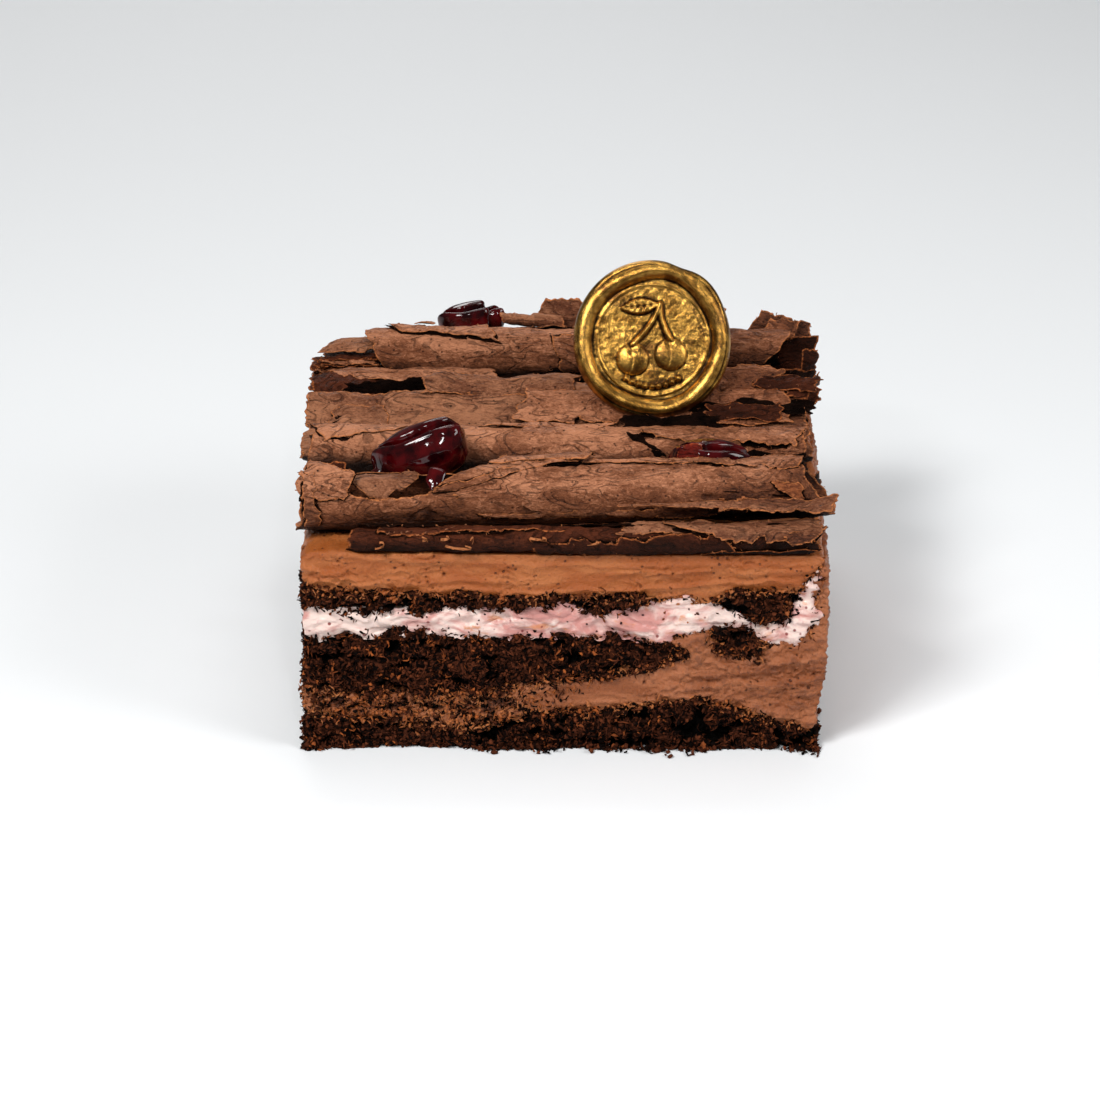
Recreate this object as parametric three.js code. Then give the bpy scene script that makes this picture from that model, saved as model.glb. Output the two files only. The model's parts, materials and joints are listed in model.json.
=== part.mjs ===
// Black forest cake: a cut block of dark sponge, chocolate mousse and cherry cream,
// roofed with curls of milk chocolate, three cherries and a gold chocolate seal.
// Millimetres, +Z up. The origin is the middle of the underside, the cut front looks along -Y.

import * as THREE from 'three';
import { mergeVertices } from 'three/addons/utils/BufferGeometryUtils.js';

// ---- driving dimensions -------------------------------------------------------------

const CAKE_WIDTH = 100;
const CAKE_DEPTH = 90;
const CAKE_HEIGHT = 42;
const GAP = 0.32;              // clear space between layers that touch
const LEFT = -CAKE_WIDTH / 2;
const FRONT = -CAKE_DEPTH / 2;
const LAYER_STEPS = 4;         // stations from front to back
const LAYER_WAVE = 0.7;        // how far the layers rise and fall inside the block

const CURL_WALL = 0.95;        // thickness of a sheet of chocolate
const TORN_WALL = 0.5;         // share of that thickness left along a torn edge

const CHERRY_DEPTH = 0.62;     // a soft cherry's depth and height as shares of its length
const CHERRY_HEIGHT = 0.64;

const SEAL_RADIUS = 16;
const SEAL_THICKNESS = 4.4;
const SEAL_RIM_WIDTH = 3.6;
const SEAL_RECESS = 1.3;
const SEAL_LEAN = 25;          // degrees back from upright
const SEAL_SIDES = 36;

const DEGREE = Math.PI / 180;

// ---- colours and finishes -----------------------------------------------------------

const FINISH = {
  sponge: { color: 0x24140f, roughness: 0.95, metalness: 0 },
  mousse: { color: 0x8a5232, roughness: 0.55, metalness: 0 },
  cream: { color: 0xe6c9c6, roughness: 0.45, metalness: 0 },
  curl: { color: 0x6b4530, roughness: 0.6, metalness: 0 },
  cherry: { color: 0x2c0508, roughness: 0.12, metalness: 0 },
  gold: { color: 0x9a7a24, roughness: 0.35, metalness: 0.9 },
};

// ---- small helpers ------------------------------------------------------------------

const lerp = THREE.MathUtils.lerp;
const smooth = THREE.MathUtils.smoothstep;

// A steady uneven wave between -1 and 1, which stands for the hand that tore or spread the edge.
function uneven(t, seed) {
  const slow = Math.sin(t * 2.1 + seed * 1.7);
  const quick = Math.sin(t * 5.3 + seed * 4.1);
  return 0.6 * slow + 0.4 * quick;
}

// A smooth line through knots given as [across, up] pairs.
function line(knots, divisions) {
  const points = knots.map(([across, up]) => new THREE.Vector2(across, up));
  return new THREE.SplineCurve(points).getPoints(divisions);
}

function makeMesh(name, finish, geometry) {
  const mesh = new THREE.Mesh(geometry, new THREE.MeshStandardMaterial({ ...FINISH[finish] }));
  mesh.name = name;
  return mesh;
}

// Turns a closed geometry right side out if it was built inside out.
function facingOut(geometry) {
  const at = geometry.attributes.position;
  const index = geometry.index;
  const [a, b, c] = [new THREE.Vector3(), new THREE.Vector3(), new THREE.Vector3()];
  let volume = 0;
  for (let i = 0; i < index.count; i += 3) {
    a.fromBufferAttribute(at, index.getX(i));
    b.fromBufferAttribute(at, index.getX(i + 1));
    c.fromBufferAttribute(at, index.getX(i + 2));
    volume += a.dot(b.cross(c));
  }
  if (volume < 0) {
    for (let i = 0; i < index.count; i += 3) {
      const first = index.getX(i);
      index.setX(i, index.getX(i + 1));
      index.setX(i + 1, first);
    }
  }
  return geometry;
}

// ---- the block: layers that run from front to back ----------------------------------

// Boundaries between layers, as [across, up] knots on the cut front, from left to right.
const BOUNDARY = {
  spongeBottomTop: line([[LEFT, 8], [-36, 7], [-21.5, 4.4], [-4, 7.8], [10, 9.6], [24, 10.7],
    [35, 10], [43, 6.4], [49.2, 4.2]], 16),
  spongeMiddleBottom: line([[LEFT, 12.8], [-36, 11.3], [-20, 12.2], [-4, 13.7], [12, 16.4],
    [25, 19.6]], 9),
  spongeMiddleEnd: line([[25, 19.6], [23.6, 21.8], [20.4, 23.2]], 3),
  creamBottom: line([[LEFT, 23.6], [-30, 24.7], [-12, 24.4], [5, 24.2], [20.4, 23.2]], 8),
  creamBottomRight: line([[20.4, 23.2], [24.5, 24.2], [28.2, 25.6]], 3),
  scrapTop: line([[28.2, 25.6], [34, 27.2], [41, 23.2]], 5),
  scrapBottom: line([[28.2, 25.6], [30.4, 21.6], [35, 19.8], [41, 23.2]], 5),
  creamOuter: line([[41, 23.2], [45.5, 22.6], [49.3, 26.5], [50.2, 33], [49.8, 39.4]], 8),
  creamInner: line([[49.8, 39.4], [47.8, 36], [46.6, 32], [43.8, 28.2], [40.4, 26.4]], 6),
  spongeTopRightBottom: line([[40.4, 26.4], [36.8, 28.3], [31.5, 29.6], [28.4, 32.4]], 5),
  creamUnderMousse: line([[28.4, 32.4], [24, 33], [19.6, 32.6]], 2),
  spongeTopLeftBottom: line([[19.6, 32.6], [12, 29.4], [7, 28.8], [0, 31], [-12, 31], [-22, 30.4],
    [-36, 29.2], [LEFT, 30.2]], 12),
  spongeTopRightTop: line([[28.4, 32.4], [33, 34.8], [39, 35.2], [46.4, 34.8]], 5),
  spongeTopRightEnd: line([[46.4, 34.8], [45.6, 31], [43, 28.2], [40.4, 26.4]], 4),
  spongeTopLeftTop: line([[19.6, 32.6], [12, 34.2], [2, 33.4], [-14, 33.1], [-34, 34.4],
    [LEFT, 35.2]], 9),
  outerWall: line([[49.2, 4.2], [50.8, 10], [51.6, 20], [51.9, 30], [51.5, 39.8]], 6),
};

const reversed = (points) => [...points].reverse();

// Each layer's outline, as the boundaries it runs along.
function layerOutlines() {
  const b = BOUNDARY;
  const corner = (across, up) => [new THREE.Vector2(across, up)];
  const top = CAKE_HEIGHT;
  return {
    sponge_bottom: [corner(LEFT, 0), corner(49.6, 0), corner(50.4, 2), reversed(b.spongeBottomTop)],
    mousse_lower: [b.spongeBottomTop, b.outerWall, reversed(b.creamOuter), reversed(b.scrapBottom),
      reversed(b.creamBottomRight), reversed(b.spongeMiddleEnd), reversed(b.spongeMiddleBottom)],
    sponge_middle: [b.spongeMiddleBottom, b.spongeMiddleEnd, reversed(b.creamBottom)],
    sponge_middle_scrap: [b.scrapBottom, reversed(b.scrapTop)],
    cherry_cream: [b.creamBottom, b.creamBottomRight, b.scrapTop, b.creamOuter, b.creamInner,
      b.spongeTopRightBottom, b.creamUnderMousse, b.spongeTopLeftBottom],
    sponge_top_left: [reversed(b.spongeTopLeftBottom), b.spongeTopLeftTop],
    sponge_top_right: [reversed(b.spongeTopRightBottom), reversed(b.spongeTopRightEnd),
      reversed(b.spongeTopRightTop)],
    mousse_top: [reversed(b.spongeTopLeftTop), reversed(b.creamUnderMousse), b.spongeTopRightTop,
      corner(47.4, 36.2), corner(49.6, 40.2), corner(51.4, 40.4), corner(50.9, top - 0.6),
      corner(49.6, top), corner(-48.8, top), corner(LEFT, top - 1.2)],
  };
}

// Joins boundary lines into one outline and drops the point that two of them share.
function joinOutline(lines) {
  const outline = [];
  for (const point of lines.flat()) {
    const last = outline[outline.length - 1];
    if (!last || last.distanceTo(point) > 0.05) outline.push(point);
  }
  if (outline[0].distanceTo(outline[outline.length - 1]) <= 0.05) outline.pop();
  return outline;
}

// Draws an outline in by a distance all round, and leaves points on the ground where they are.
function insetOutline(outline, distance) {
  const turn = THREE.ShapeUtils.isClockWise(outline) ? -1 : 1;
  return outline.map((point, i) => {
    const before = outline[(i + outline.length - 1) % outline.length];
    const after = outline[(i + 1) % outline.length];
    const inA = new THREE.Vector2(before.y - point.y, point.x - before.x).normalize();
    const inB = new THREE.Vector2(point.y - after.y, after.x - point.x).normalize();
    const middle = inA.clone().add(inB).normalize();
    const reach = distance / Math.max(0.4, middle.dot(inA));
    const moved = point.clone().addScaledVector(middle, reach * turn);
    if (point.y === 0) moved.y = 0;
    return moved;
  });
}

// The layers rise and fall a little together between the flat underside and the top.
function layerRise(along, up) {
  const share = up / CAKE_HEIGHT;
  const inside = 4 * share * (1 - share);
  const behind = (along - FRONT) / CAKE_DEPTH;
  return LAYER_WAVE * inside * behind * uneven(along / 20, 2);
}

function layer(name, finish, outlineLines) {
  const outline = insetOutline(joinOutline(outlineLines), GAP / 2);
  const shape = new THREE.Shape(outline);
  const options = { depth: CAKE_DEPTH, steps: LAYER_STEPS, bevelEnabled: false };
  const geometry = new THREE.ExtrudeGeometry(shape, options);
  const at = geometry.attributes.position;
  for (let i = 0; i < at.count; i += 1) {
    const across = at.getX(i);
    const up = at.getY(i);
    const along = -FRONT - at.getZ(i);
    at.setXYZ(i, across, along, up + layerRise(along, up));
  }
  return makeMesh(name, finish, geometry);
}

// ---- chocolate curls: thin closed shells about a sheet that bends -------------------

// Builds a closed shell on both sides of a sheet. The sheet maps u and v, from 0 to 1, to a point.
function shell(sheet, columns, rows, wall = CURL_WALL) {
  const grid = [];
  for (let i = 0; i <= columns; i += 1) {
    for (let j = 0; j <= rows; j += 1) grid.push(sheet(i / columns, j / rows));
  }
  const at = (i, j) => grid[i * (rows + 1) + j];
  const near = [];
  const far = [];
  for (let i = 0; i <= columns; i += 1) {
    for (let j = 0; j <= rows; j += 1) {
      const along = at(Math.min(i + 1, columns), j).clone().sub(at(Math.max(i - 1, 0), j));
      const across = at(i, Math.min(j + 1, rows)).clone().sub(at(i, Math.max(j - 1, 0)));
      const normal = along.cross(across).normalize();
      const torn = i === 0 || i === columns || j === 0 || j === rows;
      const half = 0.5 * wall * (torn ? TORN_WALL : 1);
      near.push(at(i, j).clone().addScaledVector(normal, half));
      far.push(at(i, j).clone().addScaledVector(normal, -half));
    }
  }
  const count = near.length;
  const id = (i, j, side) => i * (rows + 1) + j + side * count;
  const index = [];
  const quad = (a, b, c, d) => index.push(a, b, c, a, c, d);
  for (let i = 0; i < columns; i += 1) {
    for (let j = 0; j < rows; j += 1) {
      quad(id(i, j, 0), id(i + 1, j, 0), id(i + 1, j + 1, 0), id(i, j + 1, 0));
      quad(id(i, j, 1), id(i, j + 1, 1), id(i + 1, j + 1, 1), id(i + 1, j, 1));
    }
  }
  for (let i = 0; i < columns; i += 1) {
    quad(id(i, 0, 1), id(i + 1, 0, 1), id(i + 1, 0, 0), id(i, 0, 0));
    quad(id(i, rows, 0), id(i + 1, rows, 0), id(i + 1, rows, 1), id(i, rows, 1));
  }
  for (let j = 0; j < rows; j += 1) {
    quad(id(0, j, 0), id(0, j + 1, 0), id(0, j + 1, 1), id(0, j, 1));
    quad(id(columns, j, 1), id(columns, j + 1, 1), id(columns, j + 1, 0), id(columns, j, 0));
  }
  const geometry = new THREE.BufferGeometry();
  geometry.setAttribute('position', new THREE.Float32BufferAttribute(
    [...near, ...far].flatMap((p) => [p.x, p.y, p.z]), 3));
  geometry.setIndex(index);
  return facingOut(geometry);
}

// A roll wound about an axis along X. Angles are in degrees: 0 faces the front, 90 is up.
// pitch is how much nearer the axis a whole inner turn lies. left and right give each end's
// place at the top of the roll and how far it slants to the bottom.
function rollSheet(roll) {
  return (u, v) => {
    const outer = roll.outerEdge(u);
    const angle = lerp(roll.innerEdge, outer, v);
    const turnsIn = Math.abs(roll.rimAngle - angle) / 360;
    const radius = lerp(roll.radius[0], roll.radius[1], u) - roll.pitch * turnsIn;
    const height = Math.sin(angle * DEGREE);
    const forward = Math.cos(angle * DEGREE);
    const leftX = roll.left[0] + roll.left[1] * (1 - height) / 2;
    const rightX = roll.right[0] + roll.right[1] * (1 - height) / 2;
    const ragged = uneven(angle / 40, roll.seed);
    const x = lerp(leftX + ragged * roll.ragged, rightX + ragged * roll.ragged, u);
    const y = lerp(roll.y[0], roll.y[1], u) - radius * forward;
    const z = lerp(roll.z[0], roll.z[1], u) + radius * height;
    return new THREE.Vector3(x, y, z);
  };
}

// A strip that follows a bent cross-section, given as [y, z] knots, from one end to the other.
function stripSheet(strip) {
  const section = new THREE.SplineCurve(strip.section.map(([y, z]) => new THREE.Vector2(y, z)));
  const lift = strip.lift ?? [0, 0];
  const shift = strip.shift ?? [0, 0];
  const slant = strip.slant ?? [0, 0];
  return (u, v) => {
    const edge = strip.edge ? strip.edge(u) : 1;
    const point = section.getPoint(v * edge);
    const ragged = uneven(v * 4, strip.seed) * (strip.ragged ?? 0);
    const x = lerp(strip.x[0] + slant[0] * v, strip.x[1] + slant[1] * v, u) + ragged;
    const wave = (strip.wave ?? 0) * uneven(u * 5, strip.seed);
    const y = point.x + lerp(shift[0], shift[1], u);
    const z = point.y + lerp(lift[0], lift[1], u) + wave;
    return new THREE.Vector3(x, y, z);
  };
}

// A torn flake spread between four corners, bulging out of its plane in the middle.
function flakeSheet(corners, bulge) {
  const [a, b, c, d] = corners.map((corner) => new THREE.Vector3(...corner));
  const normal = b.clone().sub(a).cross(d.clone().sub(a)).normalize();
  return (u, v) => {
    const low = a.clone().lerp(b, u);
    const high = d.clone().lerp(c, u);
    const crown = 4 * u * (1 - u) + 2 * v * (1 - v);
    return low.lerp(high, v).addScaledVector(normal, bulge * crown);
  };
}

const ROLLS = {
  curl_front: {
    y: [-34, -33.4], z: [48.6, 50.7], radius: [6.3, 5.2], innerEdge: -238, rimAngle: 100, pitch: 1.5,
    seed: 1,
    outerEdge: (u) => lerp(100, 118, u) - 78 * (1 - smooth(Math.abs(u - 0.18), 0.03, 0.2)),
    left: [-51.2, -0.8], right: [47.4, 6.6], ragged: 0.5, columns: 12, rows: 20,
  },
  curl_second: {
    y: [-11.8, -11.6], z: [47.9, 47.8], radius: [5.9, 5.6], innerEdge: -230, rimAngle: 145, pitch: 1.5,
    seed: 2,
    outerEdge: (u) => 145 + 14 * uneven(u * 4, 3),
    left: [-50.2, -1.4], right: [48.6, 1.0], ragged: 0.6, columns: 9, rows: 20,
  },
  curl_fourth: {
    y: [38, 38.2], z: [49.3, 49.1], radius: [5.2, 5.1], innerEdge: 230, rimAngle: -58, pitch: 0.4,
    seed: 4,
    outerEdge: (u) => -58 + 9 * uneven(u * 5, 4),
    left: [-41.4, 5.4], right: [48.2, -12.4], ragged: 0.4, columns: 10, rows: 18,
  },
  curl_under_front: {
    y: [-44, -43.8], z: [44.6, 44.6], radius: [2.2, 2.2], innerEdge: -100, rimAngle: 150, pitch: 0.6,
    seed: 5,
    outerEdge: (u) => 150 + 12 * uneven(u * 6, 5),
    left: [-41.2, -0.6], right: [49.6, 1.2], ragged: 0.4, columns: 10, rows: 8,
  },
  flake_cherry: {
    y: [-34, -34], z: [48.8, 49.3], radius: [4.75, 4.75], innerEdge: 112, rimAngle: 112, pitch: 1.2,
    seed: 3,
    outerEdge: (u) => 12 + 22 * u,
    left: [-40.8, 2.2], right: [-27.4, -6.4], ragged: 0.2, columns: 4, rows: 5,
  },
  curl_under_back: {
    y: [45.4, 45.2], z: [44.6, 44.6], radius: [2.1, 2.2], innerEdge: -95, rimAngle: 160, pitch: 0.5,
    seed: 19,
    outerEdge: (u) => 155 + 12 * uneven(u * 6, 8),
    left: [-38.6, -0.8], right: [50.2, 1.0], ragged: 0.4, columns: 8, rows: 8,
  },
  curl_back_twisted: {
    y: [43.7, 44.5], z: [54.9, 53.4], radius: [1.6, 1.5], innerEdge: -140, rimAngle: 150, pitch: 0.7,
    seed: 18,
    outerEdge: () => 150,
    left: [-13.8, 0.8], right: [0.4, 1.4], ragged: 0.2, columns: 5, rows: 8,
  },
};

const STRIPS = {
  sheet_third: {
    section: [[9, 43.1], [2.5, 43.0], [-3.8, 43.6], [-4.9, 45.2], [-2.6, 46.4], [2.6, 47.1], [7.6, 48.8],
      [11.4, 51.6], [14.6, 52.9]],
    edge: (u) => lerp(0.9, 0.98, smooth(u, 0.26, 0.34)) + 0.02 * uneven(u * 7, 6),
    x: [-53.4, 51.2], slant: [0.8, -1.6], seed: 6, ragged: 0.4, wave: 0.35, columns: 14, rows: 15,
  },
  sheet_valley_left: {
    section: [[18.4, 43.9], [22.2, 46.6], [26.2, 47.8], [29.8, 46.2]],
    x: [-52.2, -25], slant: [0, 4], lift: [1.4, -1], seed: 7, ragged: 0.5, wave: 0.3, columns: 6, rows: 5,
  },
  curl_valley_right: {
    section: [[29.6, 43.6], [24.4, 43.2], [20.6, 44.8], [20.4, 47.6], [23.6, 49.9], [28, 49.6]],
    x: [14.6, 38.6], slant: [0, 7.4], seed: 8, ragged: 0.9, wave: 0.2, columns: 6, rows: 8,
  },
  curl_valley_middle: {
    section: [[22.2, 46.8], [21.2, 44.4], [23.6, 43.0], [27.6, 42.9], [30.4, 44.8], [29.4, 47.4],
      [26.4, 48.4]],
    x: [-22.0, 13.0], slant: [1.6, -1.2], seed: 21, ragged: 0.7, wave: 0.15, columns: 6, rows: 9,
  },
  sheet_between: {
    section: [[-27.2, 43.2], [-24.6, 42.7], [-21.2, 43.0], [-18.9, 44.4]],
    x: [-17.4, 20.6], slant: [1.8, -1.0], seed: 22, ragged: 0.8, wave: 0.12, columns: 6, rows: 4,
  },
  sheet_right_low: {
    section: [[14.4, 43.4], [18.4, 44.6], [23.4, 44.9], [28.4, 44]],
    x: [41.4, 50.6], slant: [0.6, 1.8], seed: 9, ragged: 0.7, wave: 0.2, columns: 4, rows: 5,
  },
  sheet_right_high: {
    section: [[17.2, 46.0], [21.4, 46.9], [26, 47.0], [30.4, 46.0]],
    x: [43.2, 53.2], slant: [1.4, 0.2], seed: 10, ragged: 0.7, wave: 0.25, columns: 4, rows: 4,
  },
  curl_right_flared: {
    section: [[40.2, 52.0], [40.3, 48.2], [37.8, 44.8], [34.6, 44.8], [32.9, 48.2]],
    x: [43.2, 53.4], slant: [1.2, -0.6], seed: 11, ragged: 0.3, lift: [0, 0.6], columns: 5, rows: 8,
  },
  plate_left_low: {
    section: [[33.2, 42.6], [37, 42.9], [40.4, 42.7]],
    x: [-53.4, -37.4], slant: [0.6, 0], seed: 12, ragged: 0.4, columns: 4, rows: 3,
  },
  plate_left_middle: {
    section: [[34.4, 44.7], [37.6, 45.2], [40.8, 44.9]],
    x: [-52.8, -37.8], slant: [0, 0.4], seed: 13, ragged: 0.5, columns: 4, rows: 3,
  },
  plate_left_upper: {
    section: [[34.2, 46.6], [37.6, 47.2], [41.0, 46.9]],
    x: [-53.0, -37.8], slant: [0.4, 0.2], seed: 20, ragged: 0.4, columns: 4, rows: 3,
  },
  plate_left_high: {
    section: [[34.0, 48.6], [38, 49.2], [41.8, 48.9]],
    x: [-51.6, -38.2], slant: [2.6, 0], seed: 14, ragged: 0.5, columns: 4, rows: 3,
  },
  plate_left_spike: {
    section: [[34.8, 50.7], [38.2, 52.0], [41.0, 51.7]],
    x: [-52.6, -38.8], slant: [6, 0], seed: 15, ragged: 0.2, lift: [-0.6, 0], columns: 4, rows: 3,
  },
  sheet_front_right: {
    section: [[-44.6, 48.5], [-41.7, 49.2], [-39.9, 50.5]],
    x: [8, 52.6], slant: [3, 1.4], lift: [-0.2, 2.6], seed: 16, ragged: 0.5, wave: 0.15, columns: 8, rows: 3,
  },
  tongue_front: {
    section: [[-33.6, 56.4], [-30.6, 56.0], [-28.2, 54.6]],
    x: [-15.4, 5.6], slant: [5, 2], lift: [-0.2, 0.6], seed: 17, ragged: 0.3, columns: 5, rows: 4,
  },
};

const FLAKES = {
  flake_left_upper: { corners: [[-50.4, -26.2, 43.9], [-42.4, -26.8, 43.7], [-42.2, -20.6, 51.0],
    [-49.6, -21, 50.4]], bulge: 0.4 },
  flake_left_lower: { corners: [[-51.6, -26.4, 42.9], [-43.8, -26.6, 42.7], [-43.6, -19.4, 43.2],
    [-50.8, -19.6, 43.3]], bulge: 0.3 },
  flake_back_upright: { corners: [[-8.4, 46.2, 47.9], [7, 46.2, 47.8], [6, 48.4, 58.0],
    [-4, 48.6, 58.3]], bulge: 0.5 },
  flake_back_right: { corners: [[36, 45.6, 47.6], [53.2, 45.6, 47.6], [52.6, 47.4, 52.8],
    [41.8, 48.2, 56]], bulge: 0.5 },
  flake_back_middle: { corners: [[26, 45.8, 47.6], [33, 45.8, 47.6], [35.2, 47.6, 56.2],
    [30, 47.8, 56.4]], bulge: 0.4 },
  flake_right_dark: { corners: [[44.6, 9.0, 51.3], [50.4, 9.0, 51.1], [50.8, 13.6, 54.0],
    [45.6, 13.6, 54.4]], bulge: 0.2 },
};

// ---- cherries -----------------------------------------------------------------------

const CHERRIES = {
  cherry_left: { place: [-27.7, -23.2, 53.7], length: 19.4, roll: -22, turn: 0 },
  cherry_right: { place: [29.6, -22.6, 51.2], length: 16.8, roll: 6, turn: 4 },
  cherry_back: { place: [-19.3, 48.2, 52.0], length: 15.2, roll: -8, turn: 8 },
};

// A soft cherry without its stone: longer than high, with a crease along the top.
function cherry(name, { place, length, roll, turn }) {
  const radius = length / 2;
  const geometry = new THREE.SphereGeometry(radius, 16, 11);
  geometry.scale(1, CHERRY_DEPTH, CHERRY_HEIGHT);
  const at = geometry.attributes.position;
  for (let i = 0; i < at.count; i += 1) {
    const along = at.getX(i) / radius;
    const crease = Math.exp(-((at.getY(i) / (0.2 * radius)) ** 2)) * smooth(at.getZ(i), 0, radius / 2);
    const dip = 0.1 * radius * crease * (1 - along * along);
    at.setZ(i, at.getZ(i) - dip);
  }
  const mesh = makeMesh(name, 'cherry', geometry);
  mesh.position.set(...place);
  mesh.rotation.set(0, roll * DEGREE, turn * DEGREE);
  return mesh;
}

// ---- the seal: a pressed gold disc with a rounded rim -------------------------------

const SEAL_FOOT = [18.1, 4.2, 49.1];

function seal() {
  const half = SEAL_THICKNESS / 2;
  const field = SEAL_RADIUS - SEAL_RIM_WIDTH;
  const profile = [new THREE.Vector2(0, -half)];
  const rimSteps = 7;
  const bulge = SEAL_RIM_WIDTH / 2;
  profile.push(new THREE.Vector2(SEAL_RADIUS - bulge, -half));
  for (let i = 1; i <= rimSteps; i += 1) {
    const angle = lerp(-90, 150, i / rimSteps) * DEGREE;
    const across = SEAL_RADIUS - bulge + bulge * Math.cos(angle);
    profile.push(new THREE.Vector2(across, half * Math.sin(angle)));
  }
  profile.push(new THREE.Vector2(field, half - SEAL_RECESS));
  profile.push(new THREE.Vector2(0, half - SEAL_RECESS));
  const geometry = new THREE.LatheGeometry(profile, SEAL_SIDES);
  const at = geometry.attributes.position;
  for (let i = 0; i < at.count; i += 1) {
    const angle = Math.atan2(at.getX(i), at.getZ(i));
    const out = 1 + 0.008 * Math.cos(2 * angle + 1) + 0.006 * Math.cos(3 * angle);
    at.setX(i, at.getX(i) * out);
    at.setZ(i, at.getZ(i) * out);
  }
  const mesh = makeMesh('gold_seal', 'gold', geometry);
  const lean = SEAL_LEAN * DEGREE;
  mesh.rotation.x = Math.PI - lean;
  mesh.position.set(
    SEAL_FOOT[0],
    SEAL_FOOT[1] + SEAL_RADIUS * Math.sin(lean),
    SEAL_FOOT[2] + SEAL_RADIUS * Math.cos(lean),
  );
  return mesh;
}

// ---- the whole cake -----------------------------------------------------------------

function layerFinish(name) {
  if (name.startsWith('sponge')) return 'sponge';
  return name.startsWith('mousse') ? 'mousse' : 'cream';
}

const cake = new THREE.Group();
for (const [name, outlineLines] of Object.entries(layerOutlines())) {
  cake.add(layer(name, layerFinish(name), outlineLines));
}
for (const [name, roll] of Object.entries(ROLLS)) {
  cake.add(makeMesh(name, 'curl', shell(rollSheet(roll), roll.columns, roll.rows)));
}
for (const [name, strip] of Object.entries(STRIPS)) {
  cake.add(makeMesh(name, 'curl', shell(stripSheet(strip), strip.columns, strip.rows)));
}
for (const [name, flake] of Object.entries(FLAKES)) {
  cake.add(makeMesh(name, 'curl', shell(flakeSheet(flake.corners, flake.bulge), 3, 3)));
}
for (const [name, fruit] of Object.entries(CHERRIES)) cake.add(cherry(name, fruit));
cake.add(seal());

for (const mesh of cake.children) {
  mesh.geometry.deleteAttribute('normal');
  mesh.geometry.deleteAttribute('uv');
  mesh.geometry = mergeVertices(mesh.geometry, 1e-3);
}

// The origin goes under the middle of everything, so the whole outline is centred on it.
const outline = new THREE.Box3().setFromObject(cake, true);
const middle = outline.getCenter(new THREE.Vector3());
cake.position.set(-middle.x, -middle.y, 0);

export default cake;
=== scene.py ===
"""Black forest cake: the looks of the cut block, its chocolate curls, cherries and gold seal.

Lengths are millimetres in the cake's own frame, where the block is centred and its underside is at zero,
unless a name ends in _m. CakeFrame turns them into metres in the row frame.
"""

import itertools
import json
import logging
import math
from dataclasses import dataclass, field
from enum import Enum
from typing import Callable, Optional, Sequence

import bmesh
import bpy
import numpy as np
from bpy.types import ID, Collection, Material, Node, NodeSocket as Socket, NodeTree, Object as Piece
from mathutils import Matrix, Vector
from mathutils.geometry import delaunay_2d_cdt
from numpy import ndarray as Array
from numpy.random import Generator

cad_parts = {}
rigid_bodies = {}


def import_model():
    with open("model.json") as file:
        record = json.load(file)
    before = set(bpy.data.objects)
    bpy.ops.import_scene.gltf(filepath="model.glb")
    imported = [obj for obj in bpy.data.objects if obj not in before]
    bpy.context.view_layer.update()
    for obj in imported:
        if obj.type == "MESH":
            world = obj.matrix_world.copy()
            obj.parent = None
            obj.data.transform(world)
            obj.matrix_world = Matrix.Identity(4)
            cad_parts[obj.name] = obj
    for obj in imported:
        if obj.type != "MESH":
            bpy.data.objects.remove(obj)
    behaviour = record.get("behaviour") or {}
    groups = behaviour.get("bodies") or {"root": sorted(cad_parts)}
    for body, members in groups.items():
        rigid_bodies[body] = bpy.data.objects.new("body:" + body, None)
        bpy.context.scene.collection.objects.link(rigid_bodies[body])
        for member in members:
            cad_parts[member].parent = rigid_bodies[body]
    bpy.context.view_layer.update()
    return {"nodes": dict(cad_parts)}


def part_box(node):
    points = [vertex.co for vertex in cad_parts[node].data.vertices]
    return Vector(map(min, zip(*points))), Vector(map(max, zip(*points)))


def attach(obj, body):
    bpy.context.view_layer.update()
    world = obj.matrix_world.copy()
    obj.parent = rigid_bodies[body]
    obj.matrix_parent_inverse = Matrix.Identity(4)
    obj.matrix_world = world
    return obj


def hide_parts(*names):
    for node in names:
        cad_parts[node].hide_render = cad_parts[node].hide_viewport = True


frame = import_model()

LOG = logging.getLogger("cake")
Edge = Callable[[Array], Array]

MM = 0.001

BLOCK_WIDTH = 100.0
BLOCK_DEPTH = 90.0
BLOCK_HEIGHT = 42.0
LAYER_GAP = 0.32
LAYER_WAVE = 0.7
SHEET_SEED, TORN_SEED, SHAVING_SEED, STACK_SEED = 100, 200, 300, 320
LEFT = -BLOCK_WIDTH / 2
FRONT = -BLOCK_DEPTH / 2
BACK = BLOCK_DEPTH / 2


# ---- numbers and noise

def uneven(t: Array, seed: float) -> Array:
    """The steady uneven wave, from -1 to 1, that the solids' edges follow."""
    return 0.6 * np.sin(t * 2.1 + seed * 1.7) + 0.4 * np.sin(t * 5.3 + seed * 4.1)


def lerp(a: float, b: float, t: Array) -> Array:
    """Goes from a to b as t goes from 0 to 1."""
    return a + (b - a) * t


def smooth(low: float, high: float, t: Array) -> Array:
    """Rises from 0 at low to 1 at high with a soft start and end."""
    share = np.clip((t - low) / (high - low), 0.0, 1.0)
    return share * share * (3.0 - 2.0 * share)


def hump(away: Array, width: float | Array) -> Array:
    """A soft hump, 1 where away is 0 and about as wide as width to each side."""
    return np.exp(-(away / width) ** 2)


def unit(vectors: Array) -> Array:
    """Scales each vector in the last axis to length one."""
    length = np.linalg.norm(vectors, axis=-1, keepdims=True)
    return vectors / np.maximum(length, 1e-12)


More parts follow.
